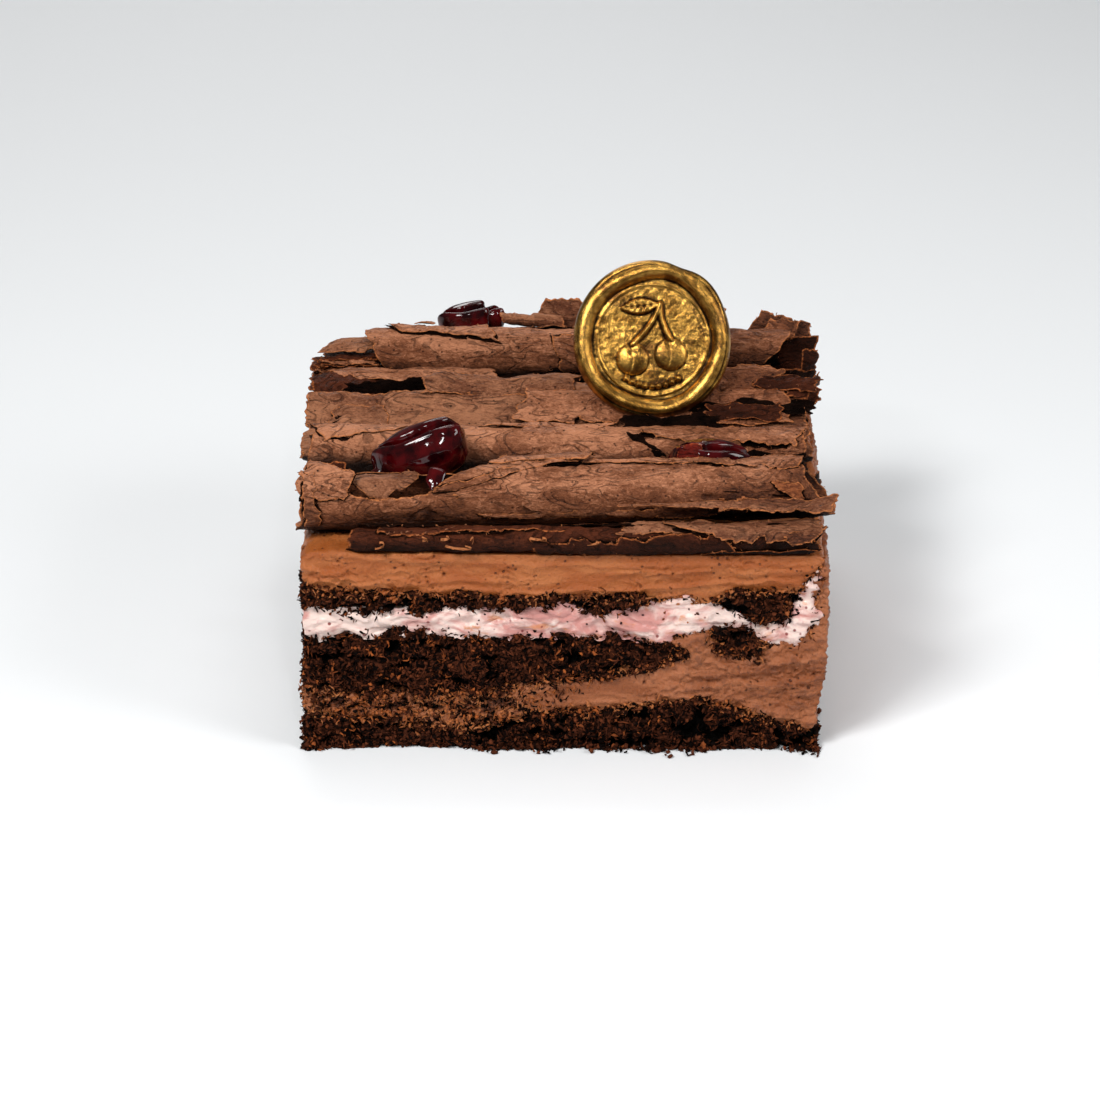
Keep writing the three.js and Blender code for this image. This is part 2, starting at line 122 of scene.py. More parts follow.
def spline(knots: Sequence[Sequence[float]], t: Array) -> Array:
    """Points on a smooth line through knots, evenly shared out among its spans.

    Args:
        knots: Two or three numbers for each knot.
        t: Where along the line, from 0 to 1.

    Returns:
        One row of coordinates for each t.
    """
    points = np.asarray(knots, float)
    last = len(points) - 1
    place = np.clip(t, 0.0, 1.0) * last
    span = np.minimum(np.floor(place).astype(int), last - 1)
    part = (place - span)[..., None]
    before, start, end, after = (points[np.clip(span + step, 0, last)] for step in (-1, 0, 1, 2))
    leave = 0.5 * (end - before)
    arrive = 0.5 * (after - start)
    cubic = (2 * start - 2 * end + leave + arrive) * part ** 3
    square = (-3 * start + 3 * end - 2 * leave - arrive) * part ** 2
    return cubic + square + leave * part + start


class Noise:
    """Seeded value noise on a repeating lattice, the same on every run."""

    CELLS = 64

    def __init__(self, seed: int) -> None:
        """Draws the lattice that belongs to a seed."""
        self.lattice = np.random.default_rng(seed).random((self.CELLS,) * 3) * 2.0 - 1.0

    def at(self, points: Array, scale: float | Sequence[float]) -> Array:
        """The noise at each point, from -1 to 1.

        Args:
            points: Rows of x, y, z.
            scale: The size of a cell, or its size along x, y and z.

        Returns:
            One value for each point.
        """
        place = points / np.asarray(scale, float)
        base = np.floor(place).astype(int)
        part = place - base
        part = part * part * (3.0 - 2.0 * part)
        total = np.zeros(points.shape[:-1])
        for corner in itertools.product((0, 1), repeat=3):
            cell = (base + corner) % self.CELLS
            weight = np.prod(np.where(corner, part, 1.0 - part), axis=-1)
            total += weight * self.lattice[cell[..., 0], cell[..., 1], cell[..., 2]]
        return total

    def fractal(self, points: Array, scale: float | Sequence[float], octaves: int = 3,
            gain: float = 0.5) -> Array:
        """Noise on noise, each finer and weaker than the last.

        Args:
            points: Rows of x, y, z.
            scale: The largest cell, or its size along x, y and z.
            octaves: How many layers of noise.
            gain: How strong each layer is next to the one before it.

        Returns:
            One value for each point, about -1 to 1.
        """
        size = np.asarray(scale, float)
        total = np.zeros(points.shape[:-1])
        for octave in range(octaves):
            total += gain ** octave * self.at(points + 17.3 * octave, size / 2 ** octave)
        return total

    def ridged(self, points: Array, scale: float | Sequence[float]) -> Array:
        """Thin ridges, 1 along their tops and falling to 0."""
        return 1.0 - np.abs(self.at(points, scale))

    def pits(self, points: Array, size: float, share: float) -> Array:
        """Round pits, one to a cell at most, 1 in their middles and 0 outside.

        Args:
            points: Rows of x, y, z.
            size: The size of a cell. A pit is a tenth to a quarter as wide.
            share: The share of the cells that have one.

        Returns:
            One value for each point.
        """
        base = np.floor(points / size).astype(int)
        depth = np.zeros(len(points))
        for step in itertools.product((-1, 0, 1), repeat=3):
            cell = base + step
            drawn = [self.lattice[tuple(((cell + salt) % self.CELLS).T)] for salt in (3, 11, 29, 47)]
            centre = (cell + 0.5 + 0.3 * np.stack(drawn[:3], -1)) * size
            radius = size * (0.16 + 0.09 * drawn[3])
            away = np.linalg.norm(points - centre, axis=1) / radius
            there = drawn[0] * 0.5 + 0.5 < share
            depth = np.maximum(depth, there * np.clip(1.3 - 1.3 * away, 0.0, 1.0))
        return depth


# ---- frame and meshes

@dataclass(frozen=True)
class CakeFrame:
    """Where the cake's own frame lies in the row frame."""

    shift: tuple[float, float]

    @classmethod
    def from_nodes(cls) -> "CakeFrame":
        """Works the shift out from the bottom sponge, whose left face and depth are known.

        Returns:
            The frame.
        """
        low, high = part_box("sponge_bottom")
        across = low.x / MM - (LEFT + LAYER_GAP / 2)
        along = (low.y + high.y) / 2 / MM
        return cls((across, along))

    def to_row(self, points: Array) -> Array:
        """Millimetres in the cake's frame to metres in the row frame."""
        return (points + np.array([*self.shift, 0.0])) * MM

    def from_row(self, points_m: Array) -> Array:
        """Metres in the row frame to millimetres in the cake's frame."""
        return points_m / MM - np.array([*self.shift, 0.0])


CAKE = CakeFrame.from_nodes()


def capped(around: int, rings: int) -> list[list[int]]:
    """Faces between two end points and the rings of points between them, facing out.

    Args:
        around: Points in a ring.
        rings: How many rings.

    Returns:
        Vertex numbers of each face.
    """
    last = 1 + rings * around
    faces = []
    for step in range(around):
        after = (step + 1) % around
        faces += [[0, 1 + after, 1 + step], [last, last - around + step, last - around + after]]
        for low in range(1, last - around, around):
            high = low + around
            faces.append([low + step, low + after, high + after, high + step])
    return faces


def signed_volume(points: Array, quads: Array) -> float:
    """Six times the volume that quads enclose, negative where they face inwards."""
    a, b, c, d = (points[quads[:, k]] for k in range(4))
    return float(np.einsum("ij,ij->", a, np.cross(b, c)) + np.einsum("ij,ij->", a, np.cross(c, d)))


def show(name: str, data: Optional[ID]) -> Piece:
    """Adds an object with its data to the scene.

    Args:
        name: Its name.
        data: A mesh, a camera or a light.

    Returns:
        The new object.
    """
    piece = bpy.data.objects.new(name, data)
    bpy.context.scene.collection.objects.link(piece)
    return piece


def make_mesh(name: str, points: Array, faces: Sequence, material: Material,
        values: Optional[dict[str, Array]] = None) -> Piece:
    """Makes a smooth-shaded mesh object at the origin from points in the cake's frame.

    Args:
        name: The piece's name.
        points: Rows of x, y, z in millimetres.
        faces: Vertex numbers of each face.
        material: Its finish.
        values: Named numbers for each vertex, which the material reads.

    Returns:
        The new object.
    """
    mesh = bpy.data.meshes.new(name)
    mesh.from_pydata(CAKE.to_row(points).tolist(), [], faces)
    mesh.validate()
    for key, numbers in (values or {}).items():
        attribute = mesh.attributes.new(key, "FLOAT", "POINT")
        attribute.data.foreach_set("value", np.asarray(numbers, np.float32))
    mesh.shade_smooth()
    mesh.materials.append(material)
    return show(name, mesh)


def settle(piece: Piece, slot: str, *nodes: str) -> Piece:
    """Hands a finished piece to the frame.

    Args:
        piece: The piece, at the origin.
        slot: The record's material slot. It is not used.
        nodes: The solids that it stands for, if any.

    Returns:
        The same piece.
    """
    if nodes:
        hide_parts(*nodes)
    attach(piece, "root")
    LOG.info("%s: %d faces", piece.name, len(piece.data.polygons))
    return piece


# ---- node trees

class NodeWriter:
    """Adds nodes to a tree and links them in short calls."""

    def __init__(self, tree: NodeTree) -> None:
        """Starts on a material's or a Geometry Nodes tree."""
        self.tree = tree

    def add(self, kind: str, inputs: Optional[dict] = None, **settings: object) -> Node:
        """Adds one node.

        Args:
            kind: Blender's name for the node type.
            inputs: Values or output sockets for its inputs, by name or number.
            settings: Properties of the node.

        Returns:
            The node.
        """
        node = self.tree.nodes.new(kind)
        for key, value in settings.items():
            setattr(node, key, value)
        for key, value in (inputs or {}).items():
            if isinstance(value, Socket):
                self.tree.links.new(value, node.inputs[key])
            else:
                node.inputs[key].default_value = value
        return node

    def math(self, operation: str, a: object, b: object = 0.0) -> Socket:
        """The result of a sum on numbers or sockets."""
        return self.add("ShaderNodeMath", {0: a, 1: b}, operation=operation).outputs[0]


def linear(part: int) -> float:
    """One channel of a display colour, 0 to 255, as linear light."""
    share = part / 255.0
    return share / 12.92 if share <= 0.04045 else ((share + 0.055) / 1.055) ** 2.4


def colour(red: int, green: int, blue: int) -> tuple[float, float, float, float]:
    """A display colour as linear light, for a node."""
    return (linear(red), linear(green), linear(blue), 1.0)


class Paint(NodeWriter):
    """Writes a procedural surface on the piece's own coordinates."""

    def __init__(self, name: str) -> None:
        """Makes an empty material.

        Args:
            name: The material's name.
        """
        self.material = bpy.data.materials.new(name)
        self.material.use_nodes = True
        super().__init__(self.material.node_tree)
        self.tree.nodes.clear()
        self.place = self.add("ShaderNodeTexCoord").outputs["Object"]

    def stretched(self, across: float, along: float, up: float) -> Socket:
        """The piece's coordinates, squeezed so that a pattern is drawn out along some axes."""
        return self.add("ShaderNodeMapping", {"Vector": self.place, "Scale": (across, along, up)}).outputs[0]

    def noise(self, size: float, detail: float = 3.0, roughness: float = 0.55, swirl: float = 0.0,
            place: Optional[Socket] = None) -> Socket:
        """Noise from 0 to 1.

        Args:
            size: The size of its patches in millimetres.
            detail: How many finer layers it has.
            roughness: How strong they are.
            swirl: How far it is dragged about.
            place: Coordinates other than the piece's own.

        Returns:
            The socket with its value.
        """
        node = self.add("ShaderNodeTexNoise", {"Vector": place or self.place, "Scale": 1.0 / (size * MM),
            "Detail": detail, "Roughness": roughness, "Distortion": swirl})
        return node.outputs["Fac"]

    def cells(self, size: float, place: Optional[Socket] = None) -> Socket:
        """Distance to the nearest of many scattered points, for pits and grains."""
        return self.add("ShaderNodeTexVoronoi",
            {"Vector": place or self.place, "Scale": 1.0 / (size * MM)}).outputs["Distance"]

    def value(self, name: str) -> Socket:
        """A named number that the mesh carries."""
        return self.add("ShaderNodeAttribute", attribute_name=name).outputs["Fac"]

    def between(self, value: object, low: float, high: float) -> Socket:
        """A soft step from 0 at low to 1 at high, which may fall as well as rise."""
        return self.add("ShaderNodeMapRange", {"Value": value, "From Min": low, "From Max": high},
            interpolation_type="SMOOTHSTEP", clamp=True).outputs[0]

    def mix(self, share: object, a: object, b: object) -> Socket:
        """Goes from display colour or socket a to b as share goes from 0 to 1."""
        a, b = (colour(*end) if isinstance(end, tuple) else end for end in (a, b))
        return self.add("ShaderNodeMix", {0: share, 6: a, 7: b}, data_type="RGBA").outputs[2]

    def bump(self, height: object, depth: float, over: Optional[Socket] = None) -> Socket:
        """Fine relief in the shading.

        Args:
            height: The pattern's height, from 0 to 1.
            depth: How deep it is in millimetres.
            over: Coarser relief that it lies on.

        Returns:
            The socket with the turned normal.
        """
        inputs = {"Height": height, "Distance": depth * MM, "Strength": 1.0}
        if over is not None:
            inputs["Normal"] = over
        return self.add("ShaderNodeBump", inputs).outputs[0]

    def finish(self, **inputs: object) -> Material:
        """Adds the surface shader and closes the material.

        Args:
            inputs: The shader's inputs, with an underscore for each space in a name.

        Returns:
            The material.
        """
        named = {key.replace("_", " "): value for key, value in inputs.items()}
        shader = self.add("ShaderNodeBsdfPrincipled", named)
        self.add("ShaderNodeOutputMaterial", {"Surface": shader.outputs[0]})
        return self.material


# ---- finishes

@dataclass(frozen=True)
class SpongeFinish:
    """Dark chocolate sponge, almost black, with browner crumbs here and there; its holes are painted near
    black, a painted shade.
    """

    # hollow: near black, painted shade in the sponge's holes
    hollow: tuple = (2, 1, 0)
    dark: tuple = (8, 3, 2)
    middle: tuple = (106, 55, 34)
    light: tuple = (168, 90, 44)

    def build(self) -> Material:
        """Writes the material.

        Returns:
            The material.
        """
        paint = Paint("dark_sponge")
        crumbs = paint.noise(0.7, 4.0, 0.65)
        patches = paint.noise(5.0, 3.0)
        tone = paint.value("tone")
        mixed = paint.math("ADD", paint.math("MULTIPLY", tone, 0.8), paint.math("MULTIPLY", crumbs, 0.5))
        base = paint.mix(paint.between(mixed, 0.4, 1.22), self.dark, self.middle)
        browner = paint.math("MULTIPLY", paint.between(tone, 0.8, 1.0), paint.between(patches, 0.44, 0.62))
        skin = paint.mix(browner, base, self.light)
        # Holes are painted near black: painted shade.
        skin = paint.mix(paint.between(paint.value("sunk"), 0.1, 0.6), skin, self.hollow)
        relief = paint.bump(paint.noise(0.3, 3.0, 0.7), 0.2)
        return paint.finish(Base_Color=skin, Roughness=0.7, Normal=relief, Specular_IOR_Level=0.05)


@dataclass(frozen=True)
class MousseFinish:
    """Milk chocolate mousse: smooth, with air holes, smear lines and warmer patches; its air holes are
    painted dark, a painted shade.
    """

    pale: tuple = (177, 104, 54)
    warm: tuple = (158, 82, 31)
    deep: tuple = (84, 38, 16)
    name: str = "milk_mousse"

    def build(self) -> Material:
        """Writes the material.

        Returns:
            The material.
        """
        paint = Paint(self.name)
        drawn = paint.stretched(0.3, 0.3, 1.0)
        patches = paint.noise(4.2, 3.0, 0.5, 1.0, drawn)
        fine = paint.noise(0.5, 4.0, 0.65)
        pits = paint.cells(1.7)
        skin = paint.mix(paint.between(patches, 0.36, 0.66), self.pale, self.warm)
        skin = paint.mix(paint.between(fine, 0.54, 0.85), skin, self.deep)
        # Air holes and sunk places are painted dark: painted shade in them.
        ragged = paint.math("ADD", pits, paint.math("MULTIPLY", paint.noise(0.9, 2.0), 0.4))
        hole = paint.math("MULTIPLY", paint.between(ragged, 0.4, 0.3),
            paint.between(paint.noise(7.0, 1.0), 0.42, 0.56))
        sunk = paint.math("MAXIMUM", paint.math("MULTIPLY", hole, 0.9), paint.value("sunk"))
        skin = paint.mix(sunk, skin, self.deep)
        relief = paint.bump(paint.math("SUBTRACT", fine, hole), 0.34)
        return paint.finish(Base_Color=skin, Roughness=0.4, Normal=relief, Specular_IOR_Level=0.36,
            Subsurface_Weight=0.06, Subsurface_Radius=(0.002, 0.001, 0.0006), Subsurface_Scale=1.0)


@dataclass(frozen=True)
class CreamFinish:
    """Cream marbled white and cherry pink, with juice stains and dark specks."""

    white: tuple = (236, 210, 200)
    pink: tuple = (200, 138, 130)
    stain: tuple = (206, 128, 76)
    rose: tuple = (196, 112, 118)
    juice: tuple = (120, 22, 20)

    def build(self) -> Material:
        """Writes the material.

        Returns:
            The material.
        """
        paint = Paint("cherry_cream")
        drawn = paint.stretched(0.6, 0.6, 1.0)
        pinker = paint.math("MULTIPLY", paint.value("tone"), 0.16)
        marbling = paint.math("ADD", paint.noise(4.4, 4.0, 0.55, 1.4, drawn), pinker)
        streaks = paint.noise(1.8, 4.0, 0.6, 1.6, drawn)
        stains = paint.math("ADD", paint.noise(3.6, 4.0, 0.6, 1.0, drawn),
            paint.math("MULTIPLY", pinker, 0.4))
        spots = paint.between(paint.cells(2.2), 0.2, 0.1)
        skin = paint.mix(paint.between(marbling, 0.46, 0.74), self.white, self.pink)
        skin = paint.mix(paint.math("MULTIPLY", paint.between(streaks, 0.56, 0.8), 0.45), skin, self.rose)
        skin = paint.mix(paint.math("MULTIPLY", paint.between(stains, 0.6, 0.74), 0.75), skin, self.stain)
        skin = paint.mix(paint.math("MULTIPLY", spots, 0.9), skin, self.juice)
        relief = paint.bump(streaks, 0.3)
        return paint.finish(Base_Color=skin, Roughness=0.3, Normal=relief, Subsurface_Weight=0.1,
            Subsurface_Scale=1.0, Subsurface_Radius=(0.002, 0.0014, 0.001))


@dataclass(frozen=True)
class ChocolateFinish:
    """Scraped milk chocolate with random rubbed patches, painted paler where it faces up and darker where it
    faces down as painted light and shade, with pale torn edges that are in part a painted highlight.
    """

    name: str
    # rubbed: the pale colour of rubbed patches, and of upward faces painted as lit, a painted light
    rubbed: tuple
    body: tuple
    shade: tuple
    torn: tuple = (204, 124, 72)
    gloss: float = 0.14
    # hollow: near black, painted shade on the lower sides of rolls and sheets
    hollow: tuple = (7, 3, 2)

    def build(self) -> Material:
        """Writes the material.

        Returns:
            The material.
        """
        paint = Paint(self.name)
        drawn = paint.stretched(0.5, 1.0, 1.0)
        grain = paint.noise(0.55, 5.0, 0.7, 1.2, drawn)
        patches = paint.noise(7.5, 3.0, 0.5, 1.0, drawn)
        fine = paint.noise(0.24, 2.0, 0.6)
        dents = paint.noise(2.6, 3.0, 0.5, 0.8, drawn)
        lines = self._lines(paint, drawn)
        spots = paint.between(paint.cells(1.7), 0.18, 0.07)
        # The up value paints the chocolate paler where it faces up and darker where it faces down, a painted
        # light and shade, over random patches, dents and grain.
        high = paint.math("MULTIPLY", paint.value("up"), 0.34)
        for pattern, share in ((patches, 0.9), (dents, 0.7), (grain, 1.4)):
            high = paint.math("ADD", high, paint.math("MULTIPLY", pattern, share))
        skin = paint.mix(paint.between(high, 1.08, 1.6), self.shade, self.body)
        skin = paint.mix(paint.between(high, 1.5, 2.0), skin, self.rubbed)
        # Blade lines and pin holes darken towards the shade colour: dark marks, with painted shade in their
        # grooves and holes.
        skin = paint.mix(paint.math("MULTIPLY", lines, 0.55), skin, self.shade)
        skin = paint.mix(paint.math("MULTIPLY", spots, 0.8), skin, self.shade)
        # Torn edges are painted pale, in part a painted highlight along them.
        edge = paint.math("MULTIPLY", paint.between(paint.value("torn"), 0.35, 0.8),
            paint.between(grain, 0.36, 0.6))
        skin = paint.mix(edge, skin, self.torn)
        # Lower sides are painted near black: painted shade.
        skin = paint.mix(paint.between(paint.value("dusk"), 0.0, 1.15), skin, self.hollow)
        relief = paint.bump(dents, 1.3)
        relief = paint.bump(paint.math("SUBTRACT", grain, lines), 0.5, relief)
        relief = paint.bump(paint.math("SUBTRACT", fine, spots), 0.14, relief)
        return paint.finish(Base_Color=skin, Roughness=0.48, Normal=relief, Specular_IOR_Level=self.gloss)

    @staticmethod
    def _lines(paint: Paint, place: Socket) -> Socket:
        """Curved lines that the blade left, which close on themselves like contour lines.

        Args:
            paint: Writes the nodes.
            place: Coordinates.

        Returns:
            How strong a line is, 0 to 1.
        """
        slow = paint.noise(7.5, 2.0, 0.45, 0.6, place)
        rings = paint.math("SINE", paint.math("MULTIPLY", slow, 84.0))
        there = paint.between(paint.noise(5.0, 2.0), 0.38, 0.6)
        return paint.math("MULTIPLY", paint.between(rings, 0.55, 0.98), there)


@dataclass(frozen=True)
class CherryFinish:
    """Very dark red cherry, wet with syrup."""

    flesh: tuple = (72, 6, 9)
    skin: tuple = (22, 1, 3)

    def build(self) -> Material:
        """Writes the material.

        Returns:
            The material.
        """
        paint = Paint("dark_cherry")
        mottle = paint.noise(3.0, 3.0, 0.5)
        skin = paint.mix(paint.between(mottle, 0.3, 0.7), self.skin, self.flesh)
        relief = paint.bump(paint.noise(2.6, 1.0), 0.1)
        return paint.finish(Base_Color=skin, Roughness=0.055, Normal=relief, Specular_IOR_Level=0.42)


@dataclass(frozen=True)
class GoldFinish:
    """Edible gold rubbed over dark chocolate: bright where it is high, brown in hollows."""

    bright: tuple = (204, 156, 74)
    dull: tuple = (124, 86, 34)
    hollow: tuple = (30, 15, 5)
    patina: tuple = (84, 54, 26)

    def build(self) -> Material:
        """Writes the material.

        Returns:
            The material.
        """
        paint = Paint("rubbed_gold")
        wear = paint.noise(2.6, 4.0, 0.6, 0.5)
        worn_off = paint.noise(7.0, 5.0, 0.7, 1.0)
        grit = paint.noise(0.5, 4.0, 0.7, 1.5)
        high = paint.value("height")
        skin = paint.mix(paint.between(wear, 0.35, 0.65), self.dull, self.bright)
        sunk = paint.math("ADD", high, paint.math("MULTIPLY", wear, 0.3))
        skin = paint.mix(paint.between(sunk, 0.68, 0.3), skin, self.hollow)
        brown = paint.math("MULTIPLY", paint.between(worn_off, 0.52, 0.68), 0.8)
        skin = paint.mix(brown, skin, self.patina)
        relief = paint.bump(grit, 0.06)
        return paint.finish(Base_Color=skin, Metallic=0.95, Normal=relief, Roughness=0.27)


@dataclass(frozen=True)
class FloorFinish:
    """A plain pale floor."""

    pale: tuple = (236, 239, 242)

    def build(self) -> Material:
        """Writes the material."""
        return Paint("pale_floor").finish(Base_Color=colour(*self.pale), Roughness=0.75,
            Specular_IOR_Level=0.2)


# ---- the cut block

class LayerKind(Enum):
    """What a layer of the block is made of."""

    SPONGE = "sponge"
    MOUSSE = "mousse"
    CREAM = "cherry_cream"


def front_outline(node: str) -> Array:
    """The outline of a layer's solid on the cut front, anticlockwise.

    Args:
        node: The layer's solid.

    Returns:
        Rows of across and up, in millimetres.
    """
    work = bmesh.new()
    work.from_mesh(frame["nodes"][node].data)
    bmesh.ops.remove_doubles(work, verts=work.verts, dist=1e-6)
    front = min(vertex.co.y for vertex in work.verts) + 1e-5
    faces = {face for face in work.faces if all(v.co.y < front for v in face.verts)}
    beside: dict[int, list[int]] = {}
    for edge in work.edges:
        if sum(face in faces for face in edge.link_faces) == 1:
            a, b = (vertex.index for vertex in edge.verts)
            beside.setdefault(a, []).append(b)
            beside.setdefault(b, []).append(a)
    work.verts.ensure_lookup_table()
    start = min(beside)
    chain = [start, beside[start][0]]
    while chain[-1] != start:
        options = [other for other in beside[chain[-1]] if other != chain[-2]]
        chain.append(options[0])
    points = np.array([work.verts[index].co for index in chain[:-1]])
    work.free()
    loop = CAKE.from_row(points)[:, [0, 2]]
    ahead = np.roll(loop, -1, axis=0)
    area = np.sum(loop[:, 0] * ahead[:, 1] - ahead[:, 0] * loop[:, 1])
    return loop if area > 0 else loop[::-1]


def resample(loop: Array, spacing: float) -> Array:
    """Spaces a closed loop's points evenly.

    Args:
        loop: Rows of across and up.
        spacing: The distance between two points of the new loop.

    Returns:
        The new loop.
    """
    closed = np.vstack([loop, loop[:1]])
    steps = np.linalg.norm(np.diff(closed, axis=0), axis=1)
    travelled = np.concatenate([[0.0], np.cumsum(steps)])
    count = int(travelled[-1] / spacing)
    wanted = np.arange(count) * travelled[-1] / count
    across = np.interp(wanted, travelled, closed[:, 0])
    up = np.interp(wanted, travelled, closed[:, 1])
    return np.column_stack([across, up])


def blurred(loop: Array, reach: int) -> Array:
    """Averages each point of a closed loop with its neighbours, which rounds it."""
    shifts = range(-reach, reach + 1)
    return sum(np.roll(loop, shift, axis=0) for shift in shifts) / len(shifts)


def nearest(points: Array, places: Array, limit: float = np.inf) -> Array:
    """The squared distance from each point to the nearest of some places, up to a limit.

    Args:
        points: Rows of across and up.
        places: The places, in rows of the same kind.
        limit: The most that comes back.

    Returns:
        One value for each point.
    """
    near = np.full(len(points), limit)
    for place in places:
        near = np.minimum(near, ((points - place) ** 2).sum(1))
    return near


def outward(loop: Array) -> Array:
    """The direction out of an anticlockwise loop at each of its points."""
    along = np.roll(loop, -1, axis=0) - np.roll(loop, 1, axis=0)
    return unit(np.column_stack([along[:, 1], -along[:, 0]]))


def fill_outline(loop: Array, spacing: float, rng: Generator) -> tuple[Array, list[list[int]]]:
    """Fills a loop with an even mesh of triangles.

    Args:
        loop: The loop's points, anticlockwise.
        spacing: The distance between points inside.
        rng: Draws how far the points inside stray from a regular pattern.

    Returns:
        The points, with the loop's own first, and the triangles.
    """
    low, high = loop.min(0), loop.max(0)
    rise = spacing * math.sqrt(3) / 2
    columns = np.arange(low[0], high[0], spacing)
    rows = np.arange(low[1], high[1], rise)
    across, up = np.meshgrid(columns, rows)
    across = across + (np.arange(len(rows)) % 2)[:, None] * spacing / 2
    grid = np.column_stack([across.ravel(), up.ravel()])
    grid += rng.uniform(-0.18, 0.18, grid.shape) * spacing
    inside = np.zeros(len(grid), bool)
    for a, b in zip(loop, np.roll(loop, -1, axis=0)):
        crosses = (a[1] > grid[:, 1]) != (b[1] > grid[:, 1])
        if a[1] != b[1]:
            reach = (b[0] - a[0]) * (grid[:, 1] - a[1]) / (b[1] - a[1]) + a[0]
            inside ^= crosses & (grid[:, 0] < reach)
    grid = grid[inside & (nearest(grid, loop) > (0.6 * spacing) ** 2)]
    points = np.vstack([loop, grid])
    border = list(range(len(loop)))
    filled = delaunay_2d_cdt([Vector(p) for p in points], [], [border], 1, 1e-7)
    origin = [sources[0] if sources else -1 for sources in filled[3]]
    faces = [[origin[index] for index in face] for face in filled[2]]
    return points, [face for face in faces if min(face) >= 0]


@dataclass(frozen=True)
class Crest:
    """A ridge that the spatula left along the cut, from left to right."""

    left: float
    right: float
    knots: tuple[float, ...]
    rise: float
    width: float = 0.38

    def height(self, points: Array, noise: Noise) -> Array:
        """How high the ridge stands at each point.

        Args:
            points: Points of the cut.
            noise: Bends the ridge.

        Returns:
            One height for each point.
        """
        share = np.clip((points[:, 0] - self.left) / (self.right - self.left), 0.0, 1.0)
        level = np.interp(share, np.linspace(0.0, 1.0, len(self.knots)), self.knots)
        wander = 0.5 * noise.fractal(points * [1.0, 1.0, 0.0], 4.0, 2)
        above = points[:, 2] - level - wander
        fade = smooth(0.0, 0.06, share) * smooth(1.0, 0.94, share)
        side = np.where(above > 0.0, 1.0, 2.6)
        return self.rise * fade * hump(above, self.width * side)


